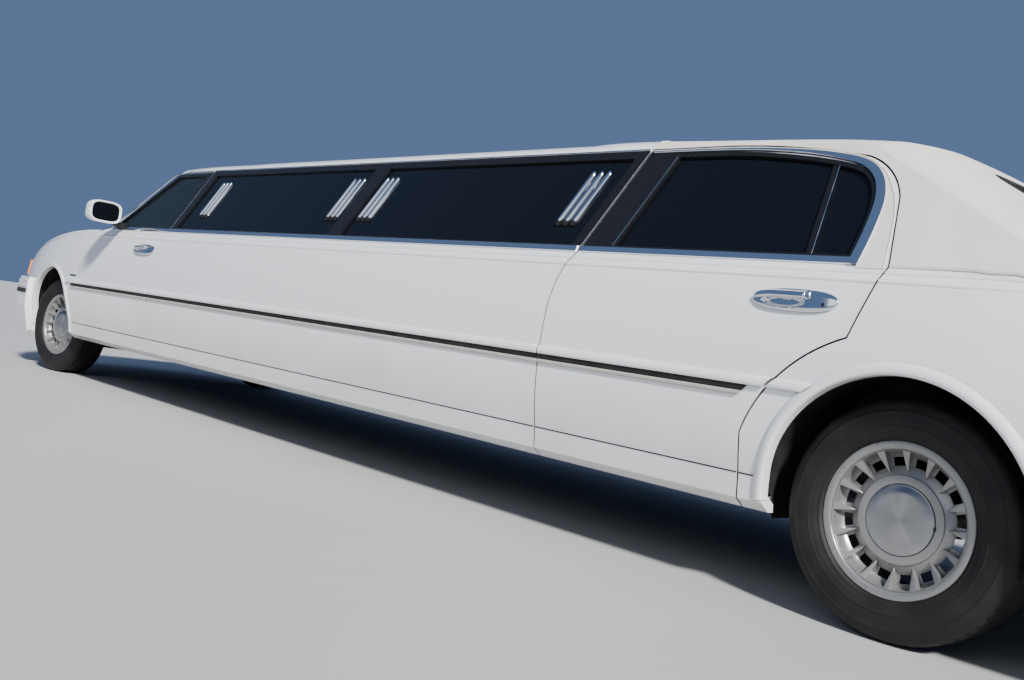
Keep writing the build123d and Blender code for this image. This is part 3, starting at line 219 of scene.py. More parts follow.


# %% [markdown]
# ### White paint
# The panels are glossy white lacquer whose colour turns greyer and a little warmer towards the sill. That is a
# colour ramp over height, broken up with noise so that it has no edge. In the shut lines the colour falls to
# nearly black where two panels almost touch: that is painted shade.

# %% White paint
paint = Finish("white_paint", (0.86, 0.86, 0.85), 0.22, Coat_Weight=0.8, Coat_Roughness=0.04)
height = paint.node("ShaderNodeSeparateXYZ")
paint.link(paint.place(), height.inputs["Vector"])
# The colour turns greyer and warmer towards the bottom: height plus some noise feeds a ramp.
height_mix = paint.node("ShaderNodeMath", operation="MULTIPLY_ADD")
paint.link(paint.noise(3.5, 6), height_mix.inputs[0])
height_mix.inputs[1].default_value = 0.35
paint.link(height.outputs["Z"], height_mix.inputs[2])
white_darker_low = paint.ramp(height_mix.outputs["Value"], 0.36, 0.78, (0.68, 0.67, 0.64), (0.88, 0.88, 0.87))
# Painted shade: within 14 mm of another surface, in gaps and at the feet of trim, the colour falls to nearly
# black.
paint.link(paint.painted_gap_shade(white_darker_low, 0.014), paint.shader.inputs["Base Color"])
paint.drift(1.2, 4, 0.18, 0.30)
paint.bump(paint.noise(2.2, 2), 0.05, 0.002)
print("paint nodes:", len(paint.tree.nodes))

# %% [markdown]
# ### Padded vinyl
# The rear half of the roof is covered in off-white vinyl with a fine pressed grain. Small Voronoi cells give
# the grain and a slow noise gives the weathered patches.

# %% Vinyl
vinyl = Finish("padded_vinyl", (0.80, 0.785, 0.74), 0.55, Sheen_Weight=0.1)
weathered = vinyl.ramp(vinyl.noise(4, 5), 0.35, 0.7, (0.72, 0.68, 0.605), (0.83, 0.795, 0.735))
# Painted shade: within 10 mm of another surface, at seams and piping, the vinyl's colour falls to nearly black.
vinyl.link(vinyl.painted_gap_shade(weathered, 0.010), vinyl.shader.inputs["Base Color"])
vinyl.drift(7, 3, 0.48, 0.64)
vinyl.grain(420, 0.0007)
print("vinyl nodes:", len(vinyl.tree.nodes))

# %% [markdown]
# ### Dark glass, bright metal and rubber
# Privacy glass is almost black and lets a little of the cabin through; the windscreen and front doors let
# more. Bright trim is a polished metal with faint smears. Rubber is dull and slightly mottled.

# %% Glass, trim and rubber
privacy_glass = Finish("privacy_glass", (0.004, 0.005, 0.007), 0.03, Alpha=0.965, Specular_IOR_Level=0.28)
privacy_glass.drift(2, 4, 0.015, 0.06)
clear_glass = Finish("tinted_glass", (0.012, 0.018, 0.020), 0.02, Alpha=0.66, Specular_IOR_Level=0.4)
clear_glass.drift(2, 4, 0.015, 0.05)

chrome = Finish("bright_trim", (0.80, 0.81, 0.82), 0.08, 1.0)
chrome.drift(18, 4, 0.05, 0.14)

satin_black = Finish("black_window_frame", (0.010, 0.010, 0.011), 0.3, Specular_IOR_Level=0.3)
satin_black.drift(9, 4, 0.16, 0.32)

dull_black = Finish("dull_black", (0.018, 0.018, 0.018), 0.7, Specular_IOR_Level=0.25)
dull_black.mottle(14, 5, 0.35, 0.75, (0.012, 0.012, 0.012), (0.035, 0.033, 0.03))
dull_black.bump(dull_black.noise(300, 2), 0.2, 0.001)

rubber = Finish("tyre_rubber", (0.02, 0.02, 0.02), 0.62, Specular_IOR_Level=0.3)
rubber.mottle(9, 6, 0.35, 0.72, (0.006, 0.006, 0.006), (0.018, 0.016, 0.014))
rubber.bump(rubber.noise(260, 3), 0.25, 0.0008)
print("rubber nodes:", len(rubber.tree.nodes))

# %% [markdown]
# ### Wheel metal
# The wheels are cast and painted silver, with rust creeping in at chipped edges. The round cap in the middle
# is turned metal: its scratches run in circles, which draws one bright streak across it. A radial tangent
# with strong anisotropy does the same.

# %% Wheel metal
silver = Finish("wheel_silver", (0.28, 0.275, 0.265), 0.34, 0.55, Coat_Weight=0.25, Coat_Roughness=0.15)
silver.mottle(30, 9, 0.64, 0.70, (0.28, 0.275, 0.265), (0.10, 0.055, 0.03), 0.68)
silver.drift(25, 4, 0.26, 0.42)

turned_metal = Finish("turned_cap", (0.36, 0.36, 0.355), 0.22, 1.0, Anisotropic=0.9)
tangent = turned_metal.node("ShaderNodeTangent", direction_type="RADIAL", axis="Z")
turned_metal.link(tangent.outputs["Tangent"], turned_metal.shader.inputs["Tangent"])
turned_metal.mottle(20, 5, 0.3, 0.8, (0.32, 0.32, 0.315), (0.41, 0.41, 0.41))
print("cap nodes:", len(turned_metal.tree.nodes))

# %% [markdown]
# ### Underbody, lamps and cabin
# Below the floor everything is painted steel with road grime. Lamps are clear or red plastic with a soft
# ribbed depth, and the cabin is grained plastic and leather.

# %% Underbody, lamps and cabin finishes
grimy_steel = Finish("grimy_steel", (0.035, 0.034, 0.032), 0.6, 0.3)
grimy_steel.mottle(6, 7, 0.35, 0.75, (0.02, 0.02, 0.02), (0.09, 0.075, 0.06))
grimy_steel.bump(grimy_steel.noise(60, 4), 0.4, 0.002)

floor_grey = Finish("pale_floor", (0.46, 0.455, 0.44), 0.85)
floor_grey.mottle(0.8, 6, 0.3, 0.8, (0.44, 0.435, 0.42), (0.49, 0.485, 0.47))
floor_mesh.materials.append(floor_grey.material)


def ribbed(finish, pitch, depth):
    """Fine upright ribs like those inside a lamp lens."""
    wave = finish.node("ShaderNodeTexWave", bands_direction="Y")
    wave.inputs["Scale"].default_value = 1 / pitch / 3.2
    finish.link(finish.place(), wave.inputs["Vector"])
    finish.bump(wave.outputs["Fac"], 0.6, depth)


clear_lens = Finish("clear_lens", (0.80, 0.82, 0.84), 0.08, 0.25, Coat_Weight=1.0)
ribbed(clear_lens, 0.012, 0.002)
red_lens = Finish("red_lens", (0.42, 0.012, 0.01), 0.12, Coat_Weight=1.0)
ribbed(red_lens, 0.010, 0.002)
amber_lens = Finish("amber_lens", (0.75, 0.22, 0.03), 0.12, Coat_Weight=1.0)
ribbed(amber_lens, 0.008, 0.001)

leather = Finish("seat_leather", (0.17, 0.165, 0.155), 0.45, Sheen_Weight=0.15)
leather.mottle(6, 4, 0.3, 0.75, (0.14, 0.135, 0.13), (0.21, 0.20, 0.19))
leather.grain(240, 0.0012)

cabin_plastic = Finish("cabin_plastic", (0.09, 0.088, 0.085), 0.6)
cabin_plastic.mottle(10, 4, 0.3, 0.8, (0.075, 0.073, 0.07), (0.11, 0.108, 0.10))
cabin_plastic.bump(cabin_plastic.noise(500, 2), 0.3, 0.0006)
print("materials:", len(bpy.data.materials))

# %% [markdown]
# ### Dress the solids that stay
# Most CAD nodes already have the right shape and only need their finish. A table by node keeps that in one
# place.

# %% Dress the CAD nodes
node_finish = {
    "hood": paint, "front_fenders": paint, "trunk_lid": paint, "rear_quarters": paint,
    "roof_panel": paint, "centre_sides": paint, "front_bumper": paint, "rear_bumper": paint,
    "padded_top": vinyl, "windscreen": clear_glass, "backlight": privacy_glass,
    "centre_glass": privacy_glass, "window_bars": chrome, "grille": chrome,
    "headlamps": clear_lens, "tail_lamps": red_lens, "floor_pan": grimy_steel,
    "sills": grimy_steel, "front_wheelhouses": dull_black, "rear_wheelhouses": dull_black,
    "frame_rails": grimy_steel, "cross_members": grimy_steel, "front_suspension": grimy_steel,
    "rear_axle": grimy_steel, "powertrain": grimy_steel, "exhaust": grimy_steel,
    "fuel_tank": grimy_steel, "door_posts": grimy_steel, "front_seats": leather,
    "rear_seat": leather, "lounge_bench": leather, "partition": cabin_plastic,
    "dashboard": cabin_plastic, "steering_wheel": dull_black,
}
for side in ("left", "right"):
    node_finish.update({
        f"front_door_{side}": paint, f"rear_door_{side}": paint,
        f"front_door_glass_{side}": clear_glass, f"rear_door_glass_{side}": privacy_glass,
        f"front_door_handle_{side}": chrome, f"rear_door_handle_{side}": chrome,
        f"mirror_{side}": paint, f"knuckle_front_{side}": grimy_steel,
        f"tyre_front_{side}": rubber, f"tyre_rear_{side}": rubber,
        f"wheel_front_{side}": silver, f"wheel_rear_{side}": silver,
    })
for name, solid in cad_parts.items():
    for material_slot in solid.material_slots:
        material_slot.material = node_finish[name].material
print("dressed", len(node_finish), "of", len(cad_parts), "nodes")

# %% [markdown]
# ## Helpers for the real pieces
# A fitted piece is a mesh with a finish and a body that it rides on.
# Sharp edges are marked by angle, as a pressed or moulded part is smooth on its faces and crisp at its edges.

# %% Mesh helper
slot_of = {
    id(paint): "body_paint", id(vinyl): "vinyl", id(privacy_glass): "dark_glass",
    id(clear_glass): "dark_glass", id(chrome): "chrome", id(satin_black): "black_trim",
    id(dull_black): "black_trim", id(rubber): "tyre", id(silver): "alloy", id(turned_metal): "alloy",
    id(grimy_steel): "chassis", id(clear_lens): "lamp_clear", id(red_lens): "lamp_red",
    id(amber_lens): "lamp_red", id(leather): "seat_leather", id(cabin_plastic): "interior",
}
triangle_count = {}


def mesh_object(name, points, faces, finish, body, place=None, sharp=35):
    """A fitted piece from points and faces, in the shared frame or in a place of its own."""
    mesh = bpy.data.meshes.new(name)
    mesh.from_pydata([tuple(p) for p in points], [], faces)
    shell = bmesh.new()
    shell.from_mesh(mesh)
    bmesh.ops.recalc_face_normals(shell, faces=shell.faces)
    shell.to_mesh(mesh)
    shell.free()
    return dress_mesh(name, mesh, finish, body, place, sharp)


def dress_mesh(name, mesh, finish, body, place=None, sharp=35):
    """Smooth shading, finish and body for a finished mesh."""
    mesh.shade_smooth()
    mesh.set_sharp_from_angle(angle=radians(sharp))
    mesh.materials.append(finish.material)
    piece = new_object(name, mesh)
    if place is not None:
        piece.matrix_world = place
    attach(piece, body)
    slot_of[id(finish)]
    triangle_count[name] = sum(len(face.vertices) - 2 for face in mesh.polygons)
    return piece


sides = {"left": 1, "right": -1}
print("slots:", sorted(set(slot_of.values())))

# %% [markdown]
# ### Revolved and swept forms
# Tyres, rims and caps are turned forms: rows of radius and height, carried round in equal steps. Trim is
# swept: a small section carried along a row of points, each with its own outward and upward direction.
# Other forms are rows of points of equal number, with faces laid from row to row.

# %% Turned and swept forms


def row_faces(rows, count, closed=True, ends=False):
    """Faces between rows of points. Closed rows are rings, and ends close the first and the last one."""
    faces = [
        (i * count + k, i * count + (k + 1) % count, (i + 1) * count + (k + 1) % count, (i + 1) * count + k)
        for i in range(rows - 1)
        for k in range(count if closed else count - 1)
    ]
    if ends:
        faces += [tuple(range(count)), tuple(range((rows - 1) * count, rows * count))]
    return faces


def joined(forms):
    """Several forms as the points and faces of one."""
    points, faces = [], []
    for form_points, form_faces in forms:
        base = len(points)
        points += form_points
        faces += [tuple(base + i for i in face) for face in form_faces]
    return points, faces


def turned(rows, steps):
    """Points and faces of a profile turned about Z. Rows are radius and height."""
    turns = [2 * pi * k / steps for k in range(steps)]
    return [(r * cos(t), r * sin(t), h) for r, h in rows for t in turns], row_faces(len(rows), steps)


def swept(stations, profile, closed=False):
    """A section along stations of (place, outward, up, scale). The profile's rows are outward and up."""
    count = len(profile)
    points = []
    for place, outward, upward, scale in stations:
        points += [Vector(place) + outward * a + upward * b * scale for a, b in profile]
    faces = []
    for i in range(len(stations) if closed else len(stations) - 1):
        j = (i + 1) % len(stations)
        for k in range(count):
            m = (k + 1) % count
            faces.append((i * count + k, j * count + k, j * count + m, i * count + m))
    if not closed:
        last = (len(stations) - 1) * count
        faces.append(tuple(range(count)))
        faces.append(tuple(last + k for k in reversed(range(count))))
    return points, faces


def stations_over(found, closed=False):
    """Stations through places found on a surface, each given with its outward direction."""
    last = len(found) - 1
    stations = []
    for k, (place, normal) in enumerate(found):
        before = found[k - 1] if closed else found[max(k - 1, 0)]
        after = found[(k + 1) % len(found)] if closed else found[min(k + 1, last)]
        along = (after[0] - before[0]).normalized()
        stations.append((place, normal, normal.cross(along).normalized(), 1))
    return stations


def strip(name, stations, profile, finish, body, sharp=40):
    """A fitted piece swept along stations."""
    return mesh_object(name, *swept(stations, profile), finish, body, sharp=sharp)


def body_of(owner, side_name):
    """The body that a piece rides on: the car's own, or the door of that side."""
    return owner if owner == "body" else f"{owner}_{side_name}"


def spread(start, end, count):
    """Evenly spaced values."""
    return [start + (end - start) * k / (count - 1) for k in range(count)]


def paced(start, end, pitch):
    """Evenly spaced values, about one pitch apart."""
    return spread(start, end, max(4, int((end - start) / pitch)))


def symmetric(rows):
    """A profile whose upper half mirrors its lower half."""
    return [*rows, *[(out, -up) for out, up in reversed(rows) if up]]


def cord(radius, rise):
    """Profile of a round cord whose middle stands a little over the skin."""
    return [(radius * cos(2 * pi * k / 8) + rise, radius * sin(2 * pi * k / 8)) for k in range(8)]


def rounded_strip(thickness, half, steps=5):
    """Profile of a strip with a softly crowned face."""
    crown = [
        (thickness * (0.35 + 0.65 * sin(pi * k / steps) ** 0.5), half * -cos(pi * k / steps))
        for k in range(steps + 1)
    ]
    return [(-0.002, -half), *crown, (-0.002, half)]


print("strip profile rows:", len(rounded_strip(0.004, 0.01)))

# %% [markdown]
# ### The outer skin as a surface to build on
# Trim follows the panel that it is stuck to. A ray cast from outside towards the body finds the skin at any
# place along the flank, so a moulding bends with the fender and never floats or sinks.

# %% Find the skin
beside_car, beyond_ends = 1.6, 5.0


def surface_of(*names):
    """The surface of some CAD nodes, to cast rays at."""
    points, faces = [], []
    for name in names:
        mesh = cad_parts[name].data
        base = len(points)
        points += [vertex.co.copy() for vertex in mesh.vertices]
        faces += [[base + i for i in face.vertices] for face in mesh.polygons]
    return BVHTree.FromPolygons(points, faces)


skin = surface_of(
    "hood", "front_fenders", "rear_quarters", "trunk_lid", "centre_sides", "front_bumper", "rear_bumper",
    "front_door_left", "front_door_right", "rear_door_left", "rear_door_right", "roof_panel", "padded_top",
    "headlamps", "tail_lamps", "front_door_glass_left", "front_door_glass_right",
)


def flank_at(x, z, side):
    """Place and outward direction of the skin beside the body."""
    hit, normal, _, _ = skin.ray_cast(Vector((x, side * beside_car, z)), Vector((0, -side, 0)))
    if hit is None or abs(hit.y) < 0.5:
        return Vector((x, side * 0.95, z)), Vector((0, side, 0))
    if normal.y * side < 0:
        normal = -normal
    return hit, normal.normalized()


def flank_stations(rows, side):
    """Stations of a strip on the flank. Rows are x and z, or x, z and scale."""
    stations = []
    for row in rows:
        place, normal = flank_at(row[0], row[1], side)
        normal = Vector((0, normal.y, normal.z)).normalized()
        upward = Vector((1, 0, 0)).cross(normal) * side
        stations.append((place, normal, upward, row[2] if len(row) > 2 else 1))
    return stations


print("skin at the rear door:", [round(v, 4) for v in flank_at(rear_axle + 0.9, 0.64, 1)[0]])

# %% [markdown]
# ## Tyres
# A road tyre bulges out below the rim edge, has thin moulded rings on its side wall and ends in a blocky
# shoulder. The tread is one turned profile with four grooves round it; at the shoulders every other few
# degrees drop by some millimetres, which cuts the cross grooves.

# %% Tyres
tyre_out = 0.3355
side_rows = [
    (0.2062, 0.0810), (0.2130, 0.0895), (0.2165, 0.0925), (0.2215, 0.0985), (0.2245, 0.1008),
    (0.2300, 0.1015), (0.2355, 0.1052), (0.2440, 0.1078), (0.2520, 0.1096), (0.2545, 0.1110),
    (0.2570, 0.1098), (0.2680, 0.1114), (0.2840, 0.1116), (0.2925, 0.1104), (0.2945, 0.1112),
    (0.2965, 0.1094), (0.3060, 0.1060), (0.3140, 0.1022),
]
shoulder_rows = [(0.3205, 0.0975), (0.3260, 0.0915), (0.3305, 0.0840), (0.3333, 0.0745), (0.3345, 0.0665)]
groove_rows = []
for middle in (0.058, 0.022):
    groove_rows += [
        (tyre_out - (0.0004 if middle < 0.05 else 0.0009), middle + 0.0045),
        (tyre_out - 0.0078, middle + 0.0030),
        (tyre_out - 0.0078, middle - 0.0030),
        (tyre_out - (0.0002 if middle < 0.05 else 0.0006), middle - 0.0045),
    ]
outer_half = side_rows + shoulder_rows + groove_rows
tyre_rows = outer_half + [(tyre_out, 0.0)] + [(r, -h) for r, h in reversed(outer_half)]
blocks = 60
steps_per_block = 5


def tyre_mesh():
    """Tyre about Z. One column in every block's width is dropped, which cuts a cross groove."""
    steps = blocks * steps_per_block
    points, faces = turned(tyre_rows, steps)
    first = len(side_rows) + 2
    deep = {first: 0.0022, first + 1: 0.0045, first + 2: 0.0052}
    shaped = []
    for index, (x, y, z) in enumerate(points):
        row, column = divmod(index, steps)
        mirrored = min(row, len(tyre_rows) - 1 - row)
        stagger = 0 if row == mirrored else 3
        if mirrored in deep and (column + stagger) % steps_per_block == 0:
            keep = 1 - deep[mirrored] / hypot(x, y)
            shaped.append((x * keep, y * keep, z))
        else:
            shaped.append((x, y, z))
    return shaped, faces


tyre_points, tyre_faces = tyre_mesh()
print("tyre rows", len(tyre_rows), "faces", len(tyre_faces))

# %% [markdown]
# ### Where each wheel stands
# The front wheels are turned a few degrees to the right in the photograph, about kingpins that stand a little
# further in. Each wheel is built about its own axle, so that its turned scratches run round that axle.

# %% Wheel places
wheel_height = 0.336
kingpin_out = 0.735
turn_at_rest = radians(8.5)
tracks = {"front": 1.595, "rear": 1.608}
wheel_places = {}
for end, axle_x in (("front", front_axle), ("rear", rear_axle)):
    turn = turn_at_rest if end == "front" else 0.0
    for side_name, side in sides.items():
        outward = Vector((-side * sin(turn), side * cos(turn), 0))
        kingpin = Vector((axle_x, side * kingpin_out, wheel_height))
        upward = Vector((0, 0, 1))
        columns = Matrix((upward, outward.cross(upward), outward)).transposed()
        away = outward * (tracks[end] / 2 - kingpin_out)
        wheel_places[f"{end}_{side_name}"] = Matrix.Translation(kingpin + away) @ columns.to_4x4()
for corner, place in wheel_places.items():
    tyre = mesh_object(f"road_tyre_{corner}", tyre_points, tyre_faces, rubber, f"wheel_{corner}", place, 30)
    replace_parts(tyre, f"tyre_{corner}")
print("wheel centres:", {k: [round(v, 3) for v in m.translation] for k, m in wheel_places.items()})

# %% [markdown]
# ## Rims
# The rim is one casting: a polished outer ring, a deep dish with sixteen windows, and a flat ring round the
# cap. The dish is turned from rows of radius and height, the windows are faces left out of it, and the sheet
# is then thickened so that each window shows a real edge.

# %% Rim face with its windows
window_count = 16
window_pitch = 360 / window_count
dish_rows = [
    (0.1915, 0.0600), (0.1925, 0.0850), (0.1920, 0.0880), (0.1898, 0.0893), (0.1884, 0.0870), (0.1872, 0.0790),
    (0.1848, 0.0690), (0.1815, 0.0610), (0.1770, 0.0540), (0.1725, 0.0496), (0.1600, 0.0486), (0.1480, 0.0496),
    (0.1460, 0.0512), (0.1400, 0.0548), (0.1330, 0.0588), (0.1260, 0.0626), (0.1236, 0.0642), (0.1224, 0.0672),
    (0.1212, 0.0686), (0.1140, 0.0692), (0.1060, 0.0692), (0.0996, 0.0688), (0.0984, 0.0676), (0.0982, 0.0600),
]
# The dish rows between which the windows lie, and degrees off the middle of the metal between two windows
window_rows = (9, 10)
window_edge = 4.9
sector_steps = [-11.25, -8.8, -7.35, -window_edge, -2.5, 0, 2.5, window_edge, 7.35, 8.8]


def dish_mesh():
    """Dish about Z with its windows left open, thickened inward."""
    angles = [radians(window_pitch * k + a) for k in range(window_count) for a in sector_steps]
    steps = len(angles)
    points = [(r * cos(t), r * sin(t), h) for r, h in dish_rows for t in angles]
    faces = []
    for i in range(len(dish_rows) - 1):
        for k in range(steps):
            middle = sector_steps[k % len(sector_steps)]
            if i in window_rows and (middle >= window_edge or middle < -window_edge):
                continue
            m = (k + 1) % steps
            faces.append((i * steps + k, i * steps + m, (i + 1) * steps + m, (i + 1) * steps + k))
    shell = bmesh.new()
    made = [shell.verts.new(p) for p in points]
    for face in faces:
        shell.faces.new([made[i] for i in face])
    bmesh.ops.delete(shell, geom=[v for v in shell.verts if not v.link_faces], context="VERTS")
    bmesh.ops.recalc_face_normals(shell, faces=shell.faces)
    if sum(face.normal.z for face in shell.faces) < 0:
        bmesh.ops.reverse_faces(shell, faces=shell.faces)
    bmesh.ops.solidify(shell, geom=shell.faces[:], thickness=0.0045)
    mesh = bpy.data.meshes.new("rim_dish")
    shell.to_mesh(mesh)
    shell.free()
    return mesh


dish = dish_mesh()
print("dish faces:", len(dish.polygons))

# %% [markdown]
# ### Fins, outer ring and cap
# Between the windows stand thin blades. Each starts as wide as a thumb at the outer ring and narrows to a
# point near the middle, with its back higher than its sides, so that light catches one flank and leaves the
# other dark. The cap is a separate disc of turned metal with a fine gap round it.

# %% Fins, outer ring, barrel and cap
# Columns: radius, half width, height of the back
fin_rows = [
    (0.1896, 0.0122, 0.0885), (0.1860, 0.0114, 0.0872), (0.1790, 0.0098, 0.0846), (0.1700, 0.0080, 0.0808),
    (0.1600, 0.0062, 0.0762), (0.1500, 0.0044, 0.0712), (0.1400, 0.0026, 0.0660), (0.1300, 0.0006, 0.0610),
]
fin_foot = 0.046
# Columns: share of the half width, height below the fin's back or None for its foot
fin_section = [(-1.08, None), (-0.95, 0.0015), (0.30, 0.0), (0.90, 0.0008), (1.08, None)]


def fin(turn):
    """One blade of the rim as a closed form."""
    radial, across = Vector((cos(turn), sin(turn), 0)), Vector((-sin(turn), cos(turn), 0))
    points = [
        radial * r + across * half * share + Vector((0, 0, fin_foot if drop is None else top - drop))
        for r, half, top in fin_rows
        for share, drop in fin_section
    ]
    return points, row_faces(len(fin_rows), len(fin_section), ends=True)


ring_rows = [
    (0.2030, 0.0795), (0.2040, 0.0860), (0.2120, 0.0880), (0.2150, 0.0900), (0.2155, 0.0925), (0.2138, 0.0946),
    (0.2100, 0.0952), (0.2050, 0.0950), (0.1985, 0.0944), (0.1945, 0.0925), (0.1922, 0.0893), (0.1918, 0.0850),
    (0.1915, 0.0600), (0.1915, -0.0860), (0.2140, -0.0940), (0.2155, -0.0925), (0.2150, -0.0900),
    (0.2035, -0.0850), (0.2030, 0.0795),
]
cap_rows = [
    (0.0973, 0.0600), (0.0973, 0.0690), (0.0962, 0.0705), (0.0940, 0.0712), (0.0700, 0.0717), (0.0400, 0.0720),
    (0.0150, 0.0721), (0.0004, 0.0721),
]
hub_rows = [
    (0.0984, 0.0605), (0.1100, 0.0440), (0.1350, 0.0300), (0.1350, 0.0200), (0.0650, 0.0180), (0.0650, -0.0400),
]
brake_rows = [
    (0.0400, 0.0150), (0.0560, 0.0150), (0.0570, -0.0100), (0.0955, -0.0105), (0.0972, -0.0120),
    (0.0972, -0.0340), (0.0570, -0.0350),
]
fins = joined(fin(radians(window_pitch * k)) for k in range(window_count))
for corner, place in wheel_places.items():
    body = f"wheel_{corner}"
    rim = dress_mesh(f"rim_dish_{corner}", dish.copy(), silver, body, place, 32)
    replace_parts(rim, f"wheel_{corner}")
    mesh_object(f"rim_fins_{corner}", *fins, silver, body, place, 25)
    mesh_object(f"rim_ring_{corner}", *turned(ring_rows, 120), silver, body, place, 40)
    mesh_object(f"wheel_cap_{corner}", *turned(cap_rows, 120), turned_metal, body, place, 30)
    mesh_object(f"rim_back_{corner}", *turned(hub_rows, 64), dull_black, body, place, 30)
    mesh_object(f"brake_disc_{corner}", *turned(brake_rows, 72), grimy_steel, body, place, 30)
print("rim triangles:", sum(n for name, n in triangle_count.items() if "rear_left" in name))

# %% [markdown]
# ### Small things on the rim
# A slot beside the cap takes a tool that prises it off. It is a dull black block over the cap's edge, and its
# black is painted shade for the hollow. A rubber valve leans out of one window.

# %% Cap slot and valve
# Outline of the slot, drawn as a dull black block: painted shade for the hollow.
notch = [
    (0.0948, -0.0052), (0.1006, -0.0052), (0.1014, -0.0044), (0.1014, 0.0044), (0.1006, 0.0052),
    (0.0948, 0.0052),
]
notch_turn = Matrix.Rotation(radians(-92), 4, "Z")
notch_points = [notch_turn @ Vector((x, y, z)) for z in (0.0670, 0.0722) for x, y in notch]
valve_rows = [
    (0.0001, 0.030), (0.0022, 0.030), (0.0026, 0.028), (0.0026, 0.021), (0.0034, 0.019), (0.0046, 0.004),
    (0.0052, 0.0),
]
valve_seat = Matrix.Rotation(radians(-98), 4, "Z") @ Matrix.Translation((0.1605, 0.011, 0.050))
for corner, place in wheel_places.items():
    body = f"wheel_{corner}"
    notch_faces = row_faces(2, len(notch), ends=True)
    mesh_object(f"cap_slot_{corner}", notch_points, notch_faces, dull_black, body, place, 20)
    mesh_object(f"valve_{corner}", *turned(valve_rows, 14), rubber, body, place @ valve_seat, 40)
print("pieces so far:", len(triangle_count))

# %% [markdown]
# ## The dark window band
# Between the front door and the rear door's glass, all that is not glass is black: the window frames are hidden
# behind flat gloss-black appliques, so the band reads as one long window. Each applique is a plate cut to its
# outline, with openings, and it turns down into the window reveal as the real pressing does.

# %% Plates on the leaning side
belt_y, belt_z = 0.925, 1.020
lean = (belt_y - 0.735) / (1.435 - belt_z)
lean_angle = atan2(lean, 1)
window_slope = 0.307
glass_sill, glass_head = 1.048, 1.400
# How far a plate's back lies under the wall and its face stands over it
plate_back, plate_face = -0.0098, 0.0016


def on_wall(u, z, side, out=0.0):
    """A point on the leaning side wall, u metres forward of the rear axle."""
    y = belt_y - lean * (z - belt_z)
    return Vector((rear_axle + u, side * (y + out * cos(lean_angle)), z + out * sin(lean_angle)))


def wall_normal(side):
    """Outward direction of the leaning wall."""
    return Vector((0, side * cos(lean_angle), sin(lean_angle)))


def plate(name, loops, side, finish, body, low=plate_back, high=plate_face):
    """A plate on the leaning wall. The first loop is its outline and the others are openings."""
    flat = [point for loop in loops for point in loop]
    cut = tessellate_polygon([[Vector((u, z, 0)) for u, z in loop] for loop in loops])
    points = [on_wall(u, z, side, high) for u, z in flat] + [on_wall(u, z, side, low) for u, z in flat]
    count = len(flat)
    faces = [tuple(t) for t in cut] + [tuple(i + count for i in reversed(t)) for t in cut]
    start = 0
    for loop in loops:
        for k in range(len(loop)):
            a, b = start + k, start + (k + 1) % len(loop)
            faces.append((a, b, b + count, a + count))
        start += len(loop)
    mesh_object(name, points, faces, finish, body, sharp=25)


def rounded(corners, radius, steps=5):
    """A closed outline with its corners rounded."""
    path = []
    for k, corner in enumerate(corners):
        here = Vector(corner)
        before, after = Vector(corners[k - 1]) - here, Vector(corners[(k + 1) % len(corners)]) - here
        reach = min(radius, before.length * 0.45, after.length * 0.45)
        a, b = here + before.normalized() * reach, here + after.normalized() * reach
        for j in range(steps + 1):
            t = j / steps
            path.append(tuple(a * (1 - t) ** 2 + here * 2 * t * (1 - t) + b * t * t))
    return path


def leaning_window(rear_edge, front_edge, inset):
    """Outline of a centre window, inset from the edge of its opening."""
    back = window_slope * (glass_head - glass_sill)
    return [
        (rear_edge + inset, glass_sill + inset),
        (rear_edge + inset - back, glass_head - inset),
        (front_edge - inset - back, glass_head - inset),
        (front_edge - inset, glass_sill + inset),
    ]


centre_panes = [(1.335, 2.853), (2.953, 4.580)]
band_low, band_high = 1.047, 1.4275


def leaning_x(u_at_sill, z):
    """Where a slanted window edge lies at a height."""
    return u_at_sill - window_slope * (z - glass_sill)


for side_name, side in sides.items():
    outline = [
        (leaning_x(u, z), z)
        for u, z in ((1.291, band_low), (1.291, band_high), (4.641, band_high), (4.641, band_low))
    ]
    holes = [rounded(leaning_window(a, b, 0.0025), 0.012) for a, b in centre_panes]
    plate(f"centre_applique_{side_name}", [outline, *holes], side, satin_black, "body")
    # A black plate behind the gap between the centre applique and the front door's frame: painted shade, so
    # that the gap reads dark.
    gap = ((4.6400, 1.05), (4.6400, 1.42), (4.6462, 1.42), (4.6462, 1.05))
    backing = [(leaning_x(u, z), z) for u, z in gap]
    plate(f"door_gap_backing_{side_name}", [backing], side, satin_black, "body", -0.0125, -0.0100)
print("applique triangles:", triangle_count["centre_applique_left"])

# %% [markdown]
# ### Door window frames
# The doors carry the same black band round their glass. The frame of the rear door widens towards the front,
# and its rear corner is a long soft curve.

# %% Door window outlines
rear_glass_path = [
    (1.135, 1.048), (0.238, 1.048), (0.230, 1.130), (0.230, 1.205), (0.240, 1.250), (0.259, 1.288),
    (0.289, 1.317), (0.330, 1.335), (0.400, 1.352), (0.480, 1.367), (0.560, 1.378), (0.680, 1.391),
    (0.800, 1.398), (1.027, 1.400),
]
front_glass_path = [
    (5.440, 1.048), (4.974, 1.388), (4.955, 1.395), (4.925, 1.3990), (4.892, 1.400), (4.594, 1.400),
    (4.702, 1.048),
]


def offset_path(path, amount, closed=True):
    """An outline moved outward."""
    count = len(path)
    area = sum(
        path[k][0] * path[(k + 1) % count][1] - path[(k + 1) % count][0] * path[k][1] for k in range(count)
    )
    turn = 1 if area > 0 else -1
    moved = []
    for k, point in enumerate(path):
        here = Vector(point)
        before = Vector(path[k - 1]) if closed or k else here
        after = Vector(path[(k + 1) % count]) if closed or k < count - 1 else here
        ways = [v.normalized() for v in (here - before, after - here) if v.length > 1e-6]
        along = sum(ways, Vector((0, 0))).normalized()
        out = Vector((along.y, -along.x)) * turn
        spread_out = max(0.35, out.dot(Vector((ways[0].y, -ways[0].x)) * turn))
        moved.append(tuple(here + out * amount / spread_out))
    return moved


